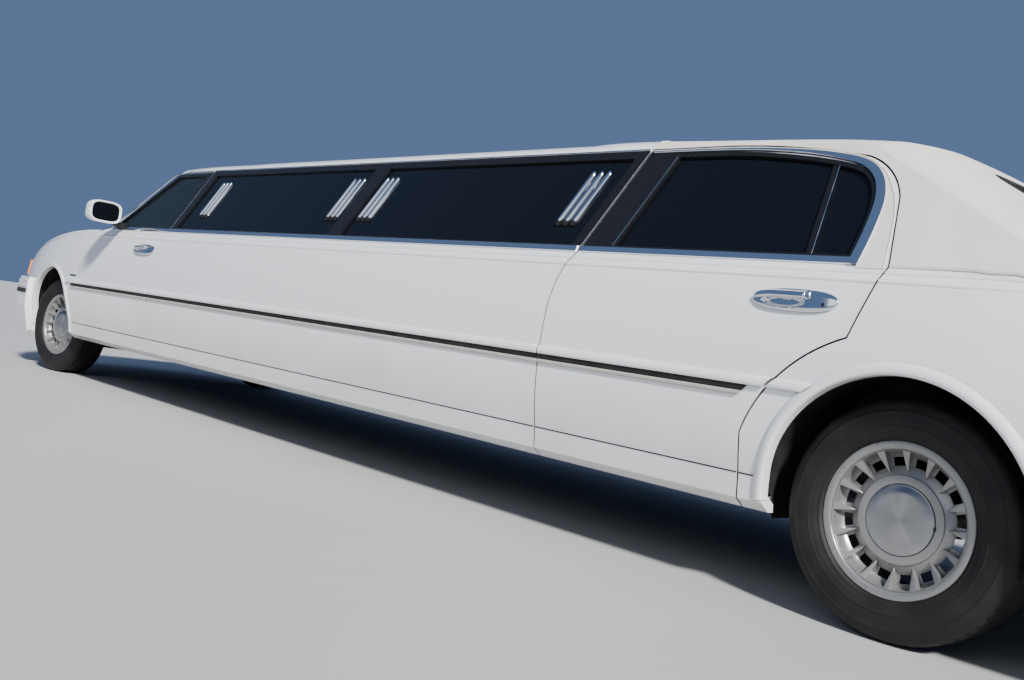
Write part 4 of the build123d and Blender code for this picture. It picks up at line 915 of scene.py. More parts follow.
for side_name, side in sides.items():
    rear_outline = [
        (leaning_x(1.2795, band_low - 0.004), band_low - 0.004),
        *[(u, z) for u, z in offset_path(rear_glass_path, 0.011) if u < 1.0][:-1],
        (1.000, 1.4235),
        (leaning_x(1.2795, 1.4255), 1.4255),
    ]
    hole = offset_path(rear_glass_path, -0.0036)
    plate(f"rear_door_frame_{side_name}", [rear_outline, hole], side, satin_black, f"rear_door_{side_name}")
    front_outline = [
        (5.478, 1.036), (4.995, 1.404), (4.960, 1.4185), (4.880, 1.4255), (leaning_x(4.6478, 1.4255), 1.4255),
        (leaning_x(4.6478, band_low), band_low), (4.6515, 1.036),
    ]
    hole = offset_path(front_glass_path, -0.0030)
    plate(f"front_door_frame_{side_name}", [front_outline, hole], side, satin_black, f"front_door_{side_name}")
print("frame triangles:", triangle_count["rear_door_frame_left"], triangle_count["front_door_frame_left"])

# %% [markdown]
# ## Bright trim round the windows
# A bright strip runs along the foot of all the windows, another along the gutter over them. At the rear the two
# meet in a broad polished surround that sweeps round the back of the rear door's glass and thins out forward.

# %% Bright strips
strip_low, gutter_z, front_gutter_z = 1.0335, 1.4315, 1.4225


def wall_stations(rows, side, out=0.0):
    """Stations along a path on the leaning wall. Rows are u, z and scale."""
    normal = wall_normal(side)
    stations = []
    for k, (u, z, scale) in enumerate(rows):
        before, after = rows[max(k - 1, 0)], rows[min(k + 1, len(rows) - 1)]
        along = (on_wall(after[0], after[1], side) - on_wall(before[0], before[1], side)).normalized()
        upward = normal.cross(along) * -side
        stations.append((on_wall(u, z, side, out), normal, upward, scale))
    return stations


# Columns: name, rear end, front end, body
belt_runs = [
    ("centre", 1.3015, 4.6405, "body"),
    ("rear", 0.2015, 1.2905, "rear_door"),
    ("front", 4.6525, 5.470, "front_door"),
]
belt_profile = rounded_strip(0.0062, 0.0125, 6)
gutter_profile = rounded_strip(0.0045, 0.0042, 4)
for side_name, side in sides.items():
    for name, rear_end, front_end, owner in belt_runs:
        stations = wall_stations([(u, strip_low, 1) for u in spread(rear_end, front_end, 12)], side)
        strip(f"belt_strip_{name}_{side_name}", stations, belt_profile, chrome, body_of(owner, side_name))
    head_rows = [(u, gutter_z, 1) for u in spread(leaning_x(1.292, 1.43), leaning_x(4.641, 1.43), 16)]
    strip(f"head_strip_centre_{side_name}", wall_stations(head_rows, side), gutter_profile, chrome, "body")

# The surround of the rear door's glass: path and width at each place
surround_corners = [
    (0.2180, 1.0220, 1.0), (0.2130, 1.0600, 1.0), (0.2085, 1.110, 1.0), (0.2065, 1.160, 1.0),
    (0.2080, 1.210, 0.98), (0.2180, 1.2560, 0.93), (0.2390, 1.2990, 0.86), (0.2740, 1.334, 0.78),
    (0.3200, 1.3575, 0.68), (0.3940, 1.3770, 0.58), (0.4760, 1.3915, 0.48), (0.5580, 1.4015, 0.40),
    (0.6800, 1.4115, 0.33), (0.8000, 1.4170, 0.29), (0.9500, 1.4188, 0.27), (1.1500, 1.4195, 0.26),
]


def smoothed(rows, parts):
    """The same path with more places along a curve that passes through every row."""
    curve = []
    for k in range(len(rows) - 1):
        before, here, there, after = (Vector(rows[min(max(k + j, 0), len(rows) - 1)]) for j in (-1, 0, 1, 2))
        for t in (i / parts for i in range(parts)):
            bend = (there - before) * t + (2 * before - 5 * here + 4 * there - after) * t * t
            curve.append(tuple(here + 0.5 * (bend + (3 * here - before - 3 * there + after) * t**3)))
    return [*curve, rows[-1]]


surround_rows = smoothed(surround_corners, 4)
seal_rows = [(u, z, width + 0.13) for u, z, width in surround_rows]
gutter_rows = [
    (leaning_x(u, front_gutter_z), front_gutter_z, 1) for u in spread(4.6555, 5.02, 6)[:-1]
]
pillar_rows = [(5.030 + 0.457 * t, 1.412 - 0.352 * t, 1) for t in spread(0.0, 0.98, 12)]
gutter_rows += [(4.925, 1.4215, 1), *pillar_rows]
for side_name, side in sides.items():
    door = f"rear_door_{side_name}"
    stations = wall_stations(surround_rows, side)
    strip(f"glass_surround_{side_name}", stations, rounded_strip(0.0085, 0.0165, 8), chrome, door)
    stations = wall_stations(seal_rows, side)
    strip(f"surround_seal_{side_name}", stations, rounded_strip(0.0042, 0.0165, 4), dull_black, door)
    stations = wall_stations(gutter_rows, side)
    strip(f"head_strip_front_{side_name}", stations, gutter_profile, chrome, f"front_door_{side_name}")
print("bright strips:", len([n for n in triangle_count if "strip" in n or "surround" in n]))

# %% [markdown]
# ### Division bar and slanted bars
# The rear door's glass cannot wind down past the wheel, so a fixed corner pane is set off by a dark bar with a
# bright edge. The slanted bars on the long windows are decoration: three bright half-rounds in each group, set
# close together, with rounded ends and dark feet.

# %% Division bar and slanted bars
division_bar = [(0.374 + 0.027 * t, 1.049 + 0.300 * t, 1) for t in spread(0, 1, 5)]
door_edge = [(leaning_x(1.2835, z), z, 1) for z in spread(1.050, 1.418, 5)]
glass_edge = [(leaning_x(1.142, z), z, 1) for z in spread(1.050, 1.399, 5)]
# Columns: name, path, how far out, thickness, half width, finish
rear_door_bars = [
    ("division_bar", division_bar, -0.0095, 0.009, 0.0115, satin_black),
    ("division_edge", [(u - 0.0135, z, 1) for u, z, _ in division_bar], -0.0095, 0.0115, 0.0022, chrome),
    ("door_edge", door_edge, 0.001, 0.0032, 0.0016, chrome),
    ("glass_edge", glass_edge, 0.001, 0.0032, 0.0016, chrome),
]
for side_name, side in sides.items():
    for name, rows, out, thickness, half, finish in rear_door_bars:
        profile = rounded_strip(thickness, half, 4)
        strip(f"{name}_{side_name}", wall_stations(rows, side, out), profile, finish, f"rear_door_{side_name}")

bar_groups = (1.430, 2.742, 3.011, 4.349)
bar_low, bar_high, bar_half, bar_pitch = 1.140, 1.350, 0.0125, 0.040
bar_sink = -0.0100
half_round = [
    (bar_half * sin(pi * k / 8) ** 0.8 if 0 < k < 8 else 0.0, bar_half * -cos(pi * k / 8)) for k in range(9)
]


def bar_rows(u):
    """Path of a slanted bar, which narrows round both ends."""
    heights = [bar_low + up for up in (0.004, 0.009, 0.016)]
    heights += [bar_high - down for down in (0.016, 0.009, 0.004, 0.0)]
    ends = [max(min(z - bar_low, bar_high - z), 0) for z in heights]
    scales = [min(1, 0.35 + 0.65 * (end / 0.016) ** 0.5) for end in ends]
    return [(u - window_slope * (z - bar_low), z, scale) for z, scale in zip(heights, scales)]


def bar_foot_rows(u):
    """Path of the dark foot under a slanted bar."""
    steps = ((-0.012, 0.55), (-0.008, 0.9), (0, 1.02), (0.006, 1.02))
    return [(u - window_slope * up, bar_low + up, scale) for up, scale in steps]


bar_places = [middle + shift for middle in bar_groups for shift in (-bar_pitch, 0, bar_pitch)]
for side_name, side in sides.items():
    bars, feet = (
        joined(swept(wall_stations(path(u), side, bar_sink), half_round) for u in bar_places)
        for path in (bar_rows, bar_foot_rows)
    )
    piece = mesh_object(f"slanted_bars_{side_name}", *bars, chrome, "body", sharp=40)
    if side_name == "left":
        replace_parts(piece, "window_bars")
    mesh_object(f"bar_feet_{side_name}", *feet, satin_black, "body", sharp=40)
print("slanted bars per side:", 3 * len(bar_groups))

# %% [markdown]
# ## Mouldings on the flank
# A rubbing strip runs the whole length at knee height. It is a white rib with a black rubber insert under it
# and a thin beige lip below. It is cut where the doors open, and only the rib goes on behind the rear door.

# %% Rubbing strips
# Columns: name, rear end, front end, whether it has its insert, body
strip_runs = [
    ("quarter", 0.2600, 0.3815, False, "body"),
    ("rear_door", 0.3935, 1.3435, True, "rear_door"),
    ("centre", 1.3525, 4.6605, True, "body"),
    ("front_door", 4.6715, 5.7435, True, "front_door"),
    ("fender", 5.7525, 5.960, True, "body"),
]
rib_profile = [
    (-0.003, -0.0165), (0.0095, -0.0150), (0.0125, -0.0110), (0.0130, -0.0020), (0.0115, 0.0070),
    (0.0075, 0.0135), (-0.003, 0.0175),
]
insert_profile = [
    (-0.002, -0.0098), (0.0045, -0.0095), (0.0058, -0.0070), (0.0058, 0.0080), (0.0045, 0.0095),
    (-0.002, 0.0100),
]
lip_profile = [
    (-0.002, -0.0070), (0.0050, -0.0066), (0.0085, -0.0040), (0.0092, 0.0030), (0.0075, 0.0060),
    (-0.002, 0.0068),
]
door_edge_slant, arch_edge_slant = Vector((-0.97, 0, 0)), Vector((-1.29, 0, 0))
fender_end_short = 0.095
beige = Finish("beige_moulding", (0.50, 0.47, 0.42), 0.4)
beige.mottle(16, 5, 0.3, 0.8, (0.44, 0.41, 0.36), (0.54, 0.51, 0.46))
slot_of[id(beige)] = "black_trim"
# Columns: part, height, profile, finish, how much shorter it is at the rear door's edge
strip_parts = [
    ("rib", 0.6555, rib_profile, paint, 0.0),
    ("insert", 0.6305, insert_profile, dull_black, 0.078),
    ("lip", 0.6145, lip_profile, beige, 0.0925),
]


def slanted(station, slant):
    """The same station with its section leaning along the car."""
    place, outward, upward, scale = station
    return place, outward, upward + slant, scale


for side_name, side in sides.items():
    for name, rear_end, front_end, full, owner in strip_runs:
        for part, middle, profile, finish, shorter in strip_parts if full else strip_parts[:1]:
            start = rear_end + (shorter if name == "rear_door" else 0.0)
            end = front_end - (fender_end_short if name == "fender" and part != "rib" else 0.0)
            stations = flank_stations([(rear_axle + u, middle, 1) for u in paced(start, end, 0.06)], side)
            if name == "rear_door":
                stations[0] = slanted(stations[0], door_edge_slant * (1 if part == "rib" else 0.9))
            elif name == "quarter":
                stations[0] = slanted(stations[0], arch_edge_slant)
                stations[-1] = slanted(stations[-1], door_edge_slant)
            piece_name, body = f"side_{part}_{name}_{side_name}", body_of(owner, side_name)
            strip(piece_name, stations, profile, finish, body, 35)
print("rubbing strips:", len([n for n in triangle_count if n.startswith("side_")]))

# %% [markdown]
# ## Padded vinyl on the roof's rear half
# The rear quarter of the roof and the rear frame of the rear door are covered in padded vinyl. It is glued over
# thin foam, so its edges roll softly down to a piping, and a seam crosses the roof where the cover begins.

# %% Vinyl on the rear door and its piping
cover_edge = [
    (0.1195, 1.012), (0.1240, 1.060), (0.1330, 1.120), (0.1450, 1.180), (0.1660, 1.236), (0.1900, 1.276),
    (0.2190, 1.3150), (0.2560, 1.3440), (0.3030, 1.3690), (0.3800, 1.3905), (0.4800, 1.4045), (0.5700, 1.4125),
    (0.7000, 1.4215), (0.8200, 1.4270), (1.1500, 1.4275),
]
beside_surround = offset_path([(u, z) for u, z, _ in surround_corners], 0.006, closed=False)
inner = [(u, z) for u, z in reversed(beside_surround) if 1.10 < z < 1.412 and u < 0.70]
cover = [*cover_edge, (1.1500, 1.4245), (0.8000, 1.4225), *inner, (0.203, 1.060), (0.206, 1.012)]
piping_rows = smoothed([(0.1215, 1.013, 1), *[(u + 0.0035, z, 1) for u, z in cover_edge[1:10]]], 3)
for side_name, side in sides.items():
    door = f"rear_door_{side_name}"
    plate(f"door_vinyl_{side_name}", [cover], side, vinyl, door, -0.001, 0.0030)
    strip(f"door_piping_{side_name}", wall_stations(piping_rows, side), cord(0.0032, 0.0018), vinyl, door, 50)
print("door cover corners:", len(cover))

# %% [markdown]
# ### Seams across the roof
# A cord of piping marks the front of the cover, and two sewn seams run lengthwise beside the middle panel. They
# are laid on the roof by casting rays down, so that they follow its crown.

# %% Roof seams
roof = surface_of("roof_panel", "padded_top")


def roof_at(x, y):
    """Place and upward direction on the roof."""
    hit, normal, _, _ = roof.ray_cast(Vector((x, y, 2.0)), Vector((0, 0, -1)))
    if hit is None:
        return None
    return hit, (normal if normal.z > 0 else -normal).normalized()


def roof_stations(rows):
    """Stations of a cord on the roof. Rows are x and y."""
    found = [roof_at(x, y) for x, y in rows]
    return stations_over([f for f in found if f and f[0].z > 1.03])


flat_seam = symmetric([(-0.001, -0.010), (0.0012, -0.0095), (0.0028, -0.003), (0.0010, 0.0)])
cross_x = rear_axle + 1.160
cross_stations = roof_stations([(cross_x, y) for y in spread(-0.742, 0.742, 41)])
strip("roof_piping_front", cross_stations, cord(0.0034, 0.0012), vinyl, "body", 50)
for side_name, side in sides.items():
    rows = [(x, side * 0.46) for x in spread(rear_axle + 1.155, rear_axle + 0.095, 30)]
    strip(f"roof_seam_{side_name}", roof_stations(rows), flat_seam, vinyl, "body", 50)
print("roof seams laid at z", [round(s[0].z, 3) for s in roof_stations([(cross_x, 0.0)])])

# %% [markdown]
# ### Where the vinyl meets the paint
# A flat bead covers the lower edge of the vinyl along the rear quarter and across behind the rear window.

# %% Bead at the foot of the cover
quarter_skin = surface_of("padded_top")
paint_below = surface_of("rear_quarters")


def cover_foot(way):
    """Where the cover first stands out over the painted panel, looking inward from a side."""
    for z in spread(1.006, 1.058, 14):
        start = Vector((rear_axle + 0.10, 0, z)) + way * beside_car
        hit, normal, _, _ = quarter_skin.ray_cast(start, -way)
        panel, _, _, _ = paint_below.ray_cast(start, -way)
        if hit is not None and (panel is None or (hit - start).length < (panel - start).length - 0.004):
            return hit, normal
    return None, None


def cover_outline(side, count):
    """Stations along the foot of the cover, from the rear door round to the middle of the tail."""
    stations = []
    for angle in spread(radians(89.7), radians(181), count):
        way = Vector((cos(angle), side * sin(angle), 0))
        hit, normal = cover_foot(way)
        if hit is None:
            continue
        normal = normal if normal.dot(way) > 0 else -normal
        normal = Vector((normal.x, normal.y, 0)).normalized()
        if stations and (hit - stations[-1][0]).length > 0.12:
            continue
        stations.append((hit, normal, Vector((0, 0, 1)), 1))
    return stations


bead = symmetric([(-0.002, -0.0050), (0.0040, -0.0046), (0.0052, 0.0)])
for side_name, side in sides.items():
    found = cover_outline(side, 46)
    strip(f"cover_bead_{side_name}", found, bead, vinyl, "body")
print("cover bead stations:", len(found), "heights", [round(s[0].z, 3) for s in found[::9]])

# %% [markdown]
# ## Creases and the sill line
# Two pressed creases run along the shoulder under the windows, and a fine dark line marks the cut at the top of
# the sill panel: a thin black strip that is painted shade for the gap. Each crease is a low rib of the same
# paint, only a millimetre or two high, as a pressing would be.

# %% Shoulder creases and sill line
# Columns: panel, which crease, rear end, front end, body
panel_runs = [
    ("rear_door", "upper", 0.1190, 1.2985, "rear_door"), ("rear_door", "lower", 0.1270, 1.3098, "rear_door"),
    ("centre", "upper", 1.3080, 4.6507, "body"), ("centre", "lower", 1.3190, 4.6546, "body"),
    ("front_door", "upper", 4.6596, 5.6802, "front_door"),
    ("front_door", "lower", 4.6635, 5.7145, "front_door"),
    ("fender", "upper", 5.6950, 6.05, "body"), ("fender", "lower", 5.7250, 6.06, "body"),
    ("quarter", "upper", -0.55, 0.1100, "body"), ("quarter", "lower", -0.55, 0.1180, "body"),
]
crease_heights = {"upper": 1.0015, "lower": 0.9750}
crease = [
    (-0.002, -0.0075), (0.0003, -0.0060), (0.0022, -0.0010), (0.0024, 0.0015), (0.0003, 0.0075),
    (-0.002, 0.0085),
]
# Columns: panel, rear end, front end, body
sill_runs = [
    ("quarter", 0.412, 0.4705, "body"), ("rear_door", 0.4795, 1.3435, "rear_door"),
    ("centre", 1.3525, 4.6605, "body"), ("front_door", 4.6715, 5.7435, "front_door"),
    ("fender", 5.7525, 5.885, "body"),
]
# The sill line is a thin dull black strip standing on the skin: painted shade for the cut above the sill panel.
sill_height = 0.3760
sill_cut_shade = symmetric([(-0.002, -0.0022), (0.0013, -0.0018)])
for side_name, side in sides.items():
    for name, row, rear_end, front_end, owner in panel_runs:
        rows = [(rear_axle + u, crease_heights[row], 1) for u in paced(rear_end, front_end, 0.09)]
        piece_name, body = f"crease_{row}_{name}_{side_name}", body_of(owner, side_name)
        strip(piece_name, flank_stations(rows, side), crease, paint, body, 60)
    for name, rear_end, front_end, owner in sill_runs:
        rows = [(rear_axle + u, sill_height, 1) for u in paced(rear_end, front_end, 0.09)]
        piece_name, body = f"sill_line_{name}_{side_name}", body_of(owner, side_name)
        strip(piece_name, flank_stations(rows, side), sill_cut_shade, dull_black, body)
print("creases:", len([n for n in triangle_count if n.startswith("crease")]))

# %% [markdown]
# ## Wheel arches
# The fender's edge is rolled inward round the wheel: a white lip a finger wide. Inside it stands a black liner
# of moulded plastic. It bends round over the wheel and is lightly waved, so it isn't as plain as a turned form.

# %% Arch lips and liners
# Columns: name, middle of the arch, radius, inner edge of its liner
arches = [("front", front_axle, 0.400, 0.560), ("rear", rear_axle, 0.390, 0.655)]
arch_steps = 61
arch_lip = [
    (0.0006, 0.0330), (0.0042, 0.0270), (0.0078, 0.0180), (0.0090, 0.0080), (0.0075, 0.0005), (0.0030, -0.0034),
    (-0.006, -0.0046), (-0.030, -0.0048), (-0.030, -0.0010), (-0.010, 0.0015), (-0.004, 0.0100),
    (-0.004, 0.0300),
]


def lip_stations(middle, radius, side):
    """Stations along the edge of a wheel arch, as far as there is a panel beside it."""
    stations = []
    for angle in spread(radians(-4), radians(184), arch_steps):
        way = Vector((cos(angle), 0, sin(angle)))
        probe = Vector((middle, 0, wheel_height)) + way * (radius + 0.010)
        place, _ = flank_at(probe.x, probe.z, side)
        if abs(place.y) < 0.80:
            continue
        edge = Vector((middle + way.x * (radius + 0.001), place.y, wheel_height + way.z * (radius + 0.001)))
        stations.append((edge, Vector((0, side, 0)), way, 1))
    return stations


def liner_points(middle, radius, inner_y, side):
    """Rows of points round the inside of a wheel arch, lightly waved as moulded plastic is."""
    points = []
    for angle in spread(radians(-12), radians(192), arch_steps):
        way = Vector((cos(angle), 0, sin(angle)))
        edge = way * (radius + 0.012)
        skin_y = abs(flank_at(middle + edge.x, wheel_height + edge.z, side)[0].y)
        outer_y = min(0.958, (skin_y if 0 < angle < pi else 0.90) - 0.008)
        for y, r in (
            (outer_y, radius + 0.004), (outer_y - 0.013, radius + 0.012), (0.84, radius + 0.0165),
            (0.76, radius + 0.0165), (inner_y, radius + 0.015), (inner_y, radius + 0.0185),
        ):
            wave = 0.0016 * sin(angle * 9) * (1 if 0.7 < y < 0.94 else 0)
            points.append(Vector((middle, side * y, wheel_height)) + way * (r + wave - 0.0005))
    return points


for side_name, side in sides.items():
    for name, middle, radius, inner_y in arches:
        strip(f"arch_lip_{name}_{side_name}", lip_stations(middle, radius, side), arch_lip, paint, "body", 50)
        points, faces = liner_points(middle, radius, inner_y, side), row_faces(arch_steps, 6, closed=False)
        mesh_object(f"arch_liner_{name}_{side_name}", points, faces, dull_black, "body", sharp=40)
print("arch pieces:", len([n for n in triangle_count if n.startswith("arch")]))

# %% [markdown]
# ## Door handles
# Each handle is a bright oval with a thick grip bar across its upper half. Behind the bar the fingers reach
# into a cup, and the key lock sits in the solid rear third. The oval is a grid whose height is given by the
# parts it crosses: a rolled edge, a sunken cup, a swelling bar and the fine split where the bar ends.

# %% Handles
handle_z = 0.905
handle_half, handle_high = 0.139, 0.0345
oval_power = 2.5


def bar_foot(a):
    """Height of the grip bar's lower edge at a place along the handle."""
    return 0.16 - 0.55 * max(0.0, a - 0.40) ** 2


def handle_height_at(a, b, over):
    """How far the handle stands out at a place, a from -1 at its rear to 1 at its front, b upward."""
    reach = min(1.0, abs(a) ** oval_power + abs(b) ** oval_power)
    shell = 0.0045 + 0.0105 * (1 - reach) ** 0.4
    if over:
        rise = min(1.0, max(0.0, (a + 0.33) / 0.06)) * (1 - 0.8 * max(0.0, a) ** 5)
        split = 0.0045 * max(0.0, 1 - ((a + 0.35) / 0.03) ** 2)
        return shell - split + 0.0125 * rise * max(0.0, 1 - ((b - bar_foot(a) - 0.30) / 0.36) ** 4)
    depth = min(1.0, 1.6 * max(0.0, 1 - ((a - 0.24) / 0.56) ** 2 - ((b + 0.20) / 0.50) ** 2))
    return shell - 0.0125 * depth * depth * (3 - 2 * depth)


def handle_points(middle, side):
    """Grid of the oval. Its rows part at the bar's lower edge, where two rows lie close together."""
    columns, lower, upper = 150, 18, 22
    points = []
    for i in range(columns + 1):
        a = -cos(pi * i / columns) * 0.9995
        tall = (1 - abs(a) ** oval_power) ** (1 / oval_power)
        foot = max(-0.9 * tall, min(0.9 * tall, bar_foot(a)))
        rows = [(b, False) for b in spread(-tall, foot - 0.01 * tall, lower)]
        rows += [(b, True) for b in spread(foot + 0.01 * tall, tall, upper)]
        for j, (b, over) in enumerate(rows):
            x, z = middle + a * handle_half, handle_z + b * handle_high
            place, _ = flank_at(x, z, side)
            rim = j in (0, len(rows) - 1) or i in (0, columns)
            stand = -0.002 if rim else handle_height_at(a, b, over)
            points.append(Vector((x, place.y + side * stand, z)))
    return points, row_faces(columns + 1, lower + upper, closed=False)


# Columns: door, middle of the handle forward of the rear axle
handle_places = [("front_door", 4.835), ("rear_door", 0.357)]
lock_ring = [
    (0.0001, 0.0012), (0.0030, 0.0012), (0.0034, 0.0024), (0.0052, 0.0026), (0.0058, 0.0016), (0.0060, -0.003),
]
for door_name, middle in handle_places:
    for side_name, side in sides.items():
        door = f"{door_name}_{side_name}"
        grip = mesh_object(f"grip_{door}", *handle_points(rear_axle + middle, side), chrome, door, sharp=55)
        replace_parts(grip, f"{door_name}_handle_{side_name}")
        lock_x, lock_z = rear_axle + middle - 0.098, handle_z - 0.009
        lock_y = flank_at(lock_x, lock_z, side)[0].y + side * 0.0118
        spot = Matrix.Translation((lock_x, lock_y, lock_z)) @ Matrix.Rotation(-side * pi / 2, 4, "X")
        mesh_object(f"lock_{door}", *turned(lock_ring, 24), dull_black, door, spot, 30)
print("handle triangles:", triangle_count["grip_rear_door_left"])

# %% [markdown]
# ## Door mirrors
# The mirror is a rounded shell of painted plastic, deep at the front and open at the rear, with the glass set a
# little inside its rim. It stands on a short black foot at the front corner of the window. The shell is swept
# through rounded-rectangle sections that shrink towards the nose of the housing, and turned towards the driver.

# %% Mirrors
mirror_x, mirror_out, mirror_turn = front_axle - 1.010, 1.080, radians(6)


def mirror_point(side, forward, out, up):
    """A point of the mirror's head, after its turn about its middle."""
    across = (out - mirror_out) * 0.93
    x = mirror_x + 0.006 + forward * cos(mirror_turn) - across * sin(mirror_turn)
    return Vector((x, side * (mirror_out + forward * sin(mirror_turn) + across * cos(mirror_turn)), up))


def rounded_ring(half_y, half_z, power=4.2, count=48):
    """A rounded rectangle as a ring of offsets."""
    ring = []
    for k in range(count):
        c, s = cos(2 * pi * k / count), sin(2 * pi * k / count)
        across = abs(c) ** (2 / power) * half_y * (1 if c > 0 else -1)
        ring.append((across, abs(s) ** (2 / power) * half_z * (1 if s > 0 else -1)))
    return ring


# Columns: forward of the mirror's middle, out from the body, height, half width, half height
shell_rows = [
    (-0.048, 1.0795, 1.1150, 0.0960, 0.0555), (-0.056, 1.0795, 1.1150, 0.0985, 0.0580),
    (-0.060, 1.0800, 1.1150, 0.1040, 0.0625), (-0.0595, 1.0800, 1.1150, 0.1085, 0.0665),
    (-0.054, 1.0800, 1.1150, 0.1110, 0.0685), (-0.030, 1.0800, 1.1150, 0.1120, 0.0690),
    (0.000, 1.0800, 1.1148, 0.1100, 0.0670), (0.026, 1.0790, 1.1142, 0.1040, 0.0620),
    (0.046, 1.0775, 1.1134, 0.0920, 0.0540), (0.059, 1.0755, 1.1128, 0.0760, 0.0440),
    (0.067, 1.0735, 1.1122, 0.0560, 0.0320), (0.0698, 1.0720, 1.1120, 0.0280, 0.0160),
]
# Columns: forward of the mirror's middle, share of the glass's size. The glass bows out a little.
glass_rows = [(-0.0460, 1.0), (-0.0490, 1.0), *[(-0.0505 + 0.0015 * s**2, s) for s in (0.8, 0.6, 0.4, 0.2)]]
glass_half_y, glass_half_z, glass_height = 0.0965, 0.0560, 1.115
# Columns: out from the body, height, half length, half height
foot_rows = [
    (0.900, 1.046, 0.046, 0.026), (0.925, 1.048, 0.045, 0.024), (0.950, 1.0525, 0.038, 0.020),
    (0.980, 1.060, 0.031, 0.0165), (1.005, 1.070, 0.028, 0.015), (1.030, 1.082, 0.027, 0.014),
]
ring_count, foot_count = 48, 24
for side_name, side in sides.items():
    door = f"front_door_{side_name}"
    points = [
        mirror_point(side, forward, out + a, z + b)
        for forward, out, z, half_y, half_z in shell_rows
        for a, b in rounded_ring(half_y, half_z, 3.6 if forward < 0.04 else 3.0)
    ]
    nose = tuple(range(len(points) - ring_count, len(points)))
    faces = [*row_faces(len(shell_rows), ring_count), nose]
    shell = mesh_object(f"mirror_shell_{side_name}", points, faces, paint, door, sharp=50)
    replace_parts(shell, f"mirror_{side_name}")
    points = [
        mirror_point(side, forward, mirror_out + a, glass_height + b)
        for forward, share in glass_rows
        for a, b in rounded_ring(glass_half_y * share, glass_half_z * share, 3.6 - 1.6 * (1 - share))
    ]
    faces = row_faces(len(glass_rows), ring_count, ends=True)
    mesh_object(f"mirror_glass_{side_name}", points, faces, privacy_glass, door, sharp=40)
    points = [
        Vector((mirror_x + 0.066 + a - (out - 0.905) * 0.45, side * out, z + b))
        for out, z, half_x, half_z in foot_rows
        for a, b in rounded_ring(half_x, half_z, 3.2, foot_count)
    ]
    faces = row_faces(len(foot_rows), foot_count, ends=True)
    mesh_object(f"mirror_foot_{side_name}", points, faces, dull_black, door, sharp=50)
print("mirror triangles:", triangle_count["mirror_shell_left"])

# %% [markdown]
# ## Front and rear ends
# Neither end shows in the photograph beyond the front corner, so they follow what such a car carries: a grille
# of upright bars before a dark screen, bright lamp surrounds, rubbing strips on the bumpers, a blank plate.

# %% Find the skin from the front and the rear


def end_at(y, z, facing, surface=skin, least=2.0):
    """Place and outward direction of the skin on the nose (facing 1) or the tail (facing -1)."""
    hit, normal, _, _ = surface.ray_cast(Vector((facing * beyond_ends, y, z)), Vector((-facing, 0, 0)))
    if hit is None or abs(hit.x) < least:
        return None
    return hit, (normal if normal.x * facing > 0 else -normal).normalized()


def end_stations(rows, facing):
    """Stations of a strip across an end of the body. Rows are y and z."""
    found = [end_at(y, z, facing) for y, z in rows]
    return stations_over([f for f in found if f])


def held_in(stations, thickness):
    """The same stations, let into the skin where the strip would stand out beyond the car's length."""
    reach = cad_bounds[1][0] + 0.0003
    held = []
    for place, outward, upward, scale in stations:
        over = abs(place.x) + thickness * abs(outward.x) - reach
        held.append((place - outward * max(0.0, over), outward, upward, scale))
    return held


soft_strip = symmetric([(-0.003, -0.016), (0.0060, -0.0150), (0.0085, -0.010)])
bright_strip = symmetric([(-0.003, -0.0055), (0.0035, -0.0050), (0.0050, 0.0)])
print("nose skin at", [round(v, 3) for v in end_at(0.0, 0.55, 1)[0]])

# %% Bumper strips
# Columns: name, direction it faces, half width across the end, rear end of its side parts
bumper_strips = [("front", 1, 0.80, front_axle + 0.445), ("rear", -1, 0.83, rear_axle - 0.455)]
# Columns: part, height, profile, thickness, finish
bumper_parts = [
    ("pad", 0.535, soft_strip, 0.0085, dull_black), ("bright", 0.5585, bright_strip, 0.0050, chrome),
]
for name, facing, corner_y, back_x in bumper_strips:
    for part, z, profile, thickness, finish in bumper_parts:
        across = end_stations([(y, z) for y in spread(-corner_y, corner_y, 40)], facing)
        strip(f"{name}_bumper_{part}", held_in(across, thickness), profile, finish, "body")
        for side_name, side in sides.items():
            corner_x = end_at(side * corner_y, bumper_parts[0][1], facing)[0].x - facing * 0.004
            stations = flank_stations([(x, z) for x in spread(back_x, corner_x, 16)], side)
            strip(f"{name}_bumper_{part}_{side_name}", stations, profile, finish, "body")
print("bumper strips:", len([n for n in triangle_count if "bumper" in n]))

# %% [markdown]
# ### Bumper corners
# The ends of each bumper wrap round to the wheel arch. A painted end piece leads its face back to the fender,
# and a small blank badge sits over the rib behind the front wheel.

# %% Bumper corners and fender badge
# Columns: name, axle, direction of the bumper from it, how far off its end stands
bumper_ends = [("front", front_axle, 1, 0.4300), ("rear", rear_axle, -1, 0.4400)]
corner_heights = spread(0.246, 0.636, 16)


def corner_ring(axle, facing, reach, side, z):
    """One level of a bumper's end piece: its face leads back to the fender beside it."""
    face_y = abs(flank_at(axle + facing * (reach + 0.006), z, side)[0].y) - 0.0006
    panel_y = abs(flank_at(axle + facing * (reach - 0.016), max(z, 0.285), side)[0].y)
    ring = [
        (reach + 0.004, panel_y - 0.010), (reach + 0.004, face_y), (reach - 0.004, face_y - 0.002),
        (reach - 0.012, 0.75 * face_y + 0.25 * panel_y), (reach - 0.020, 0.2 * face_y + 0.8 * panel_y),
        (reach - 0.023, panel_y - 0.010),
    ]
    return [Vector((axle + facing * dx, side * y, z)) for dx, y in ring]


for name, axle, facing, reach in bumper_ends:
    for side_name, side in sides.items():
        points = [point for z in corner_heights for point in corner_ring(axle, facing, reach, side, z)]
        faces = row_faces(len(corner_heights), 6, ends=True)
        mesh_object(f"{name}_bumper_corner_{side_name}", points, faces, paint, "body", sharp=35)
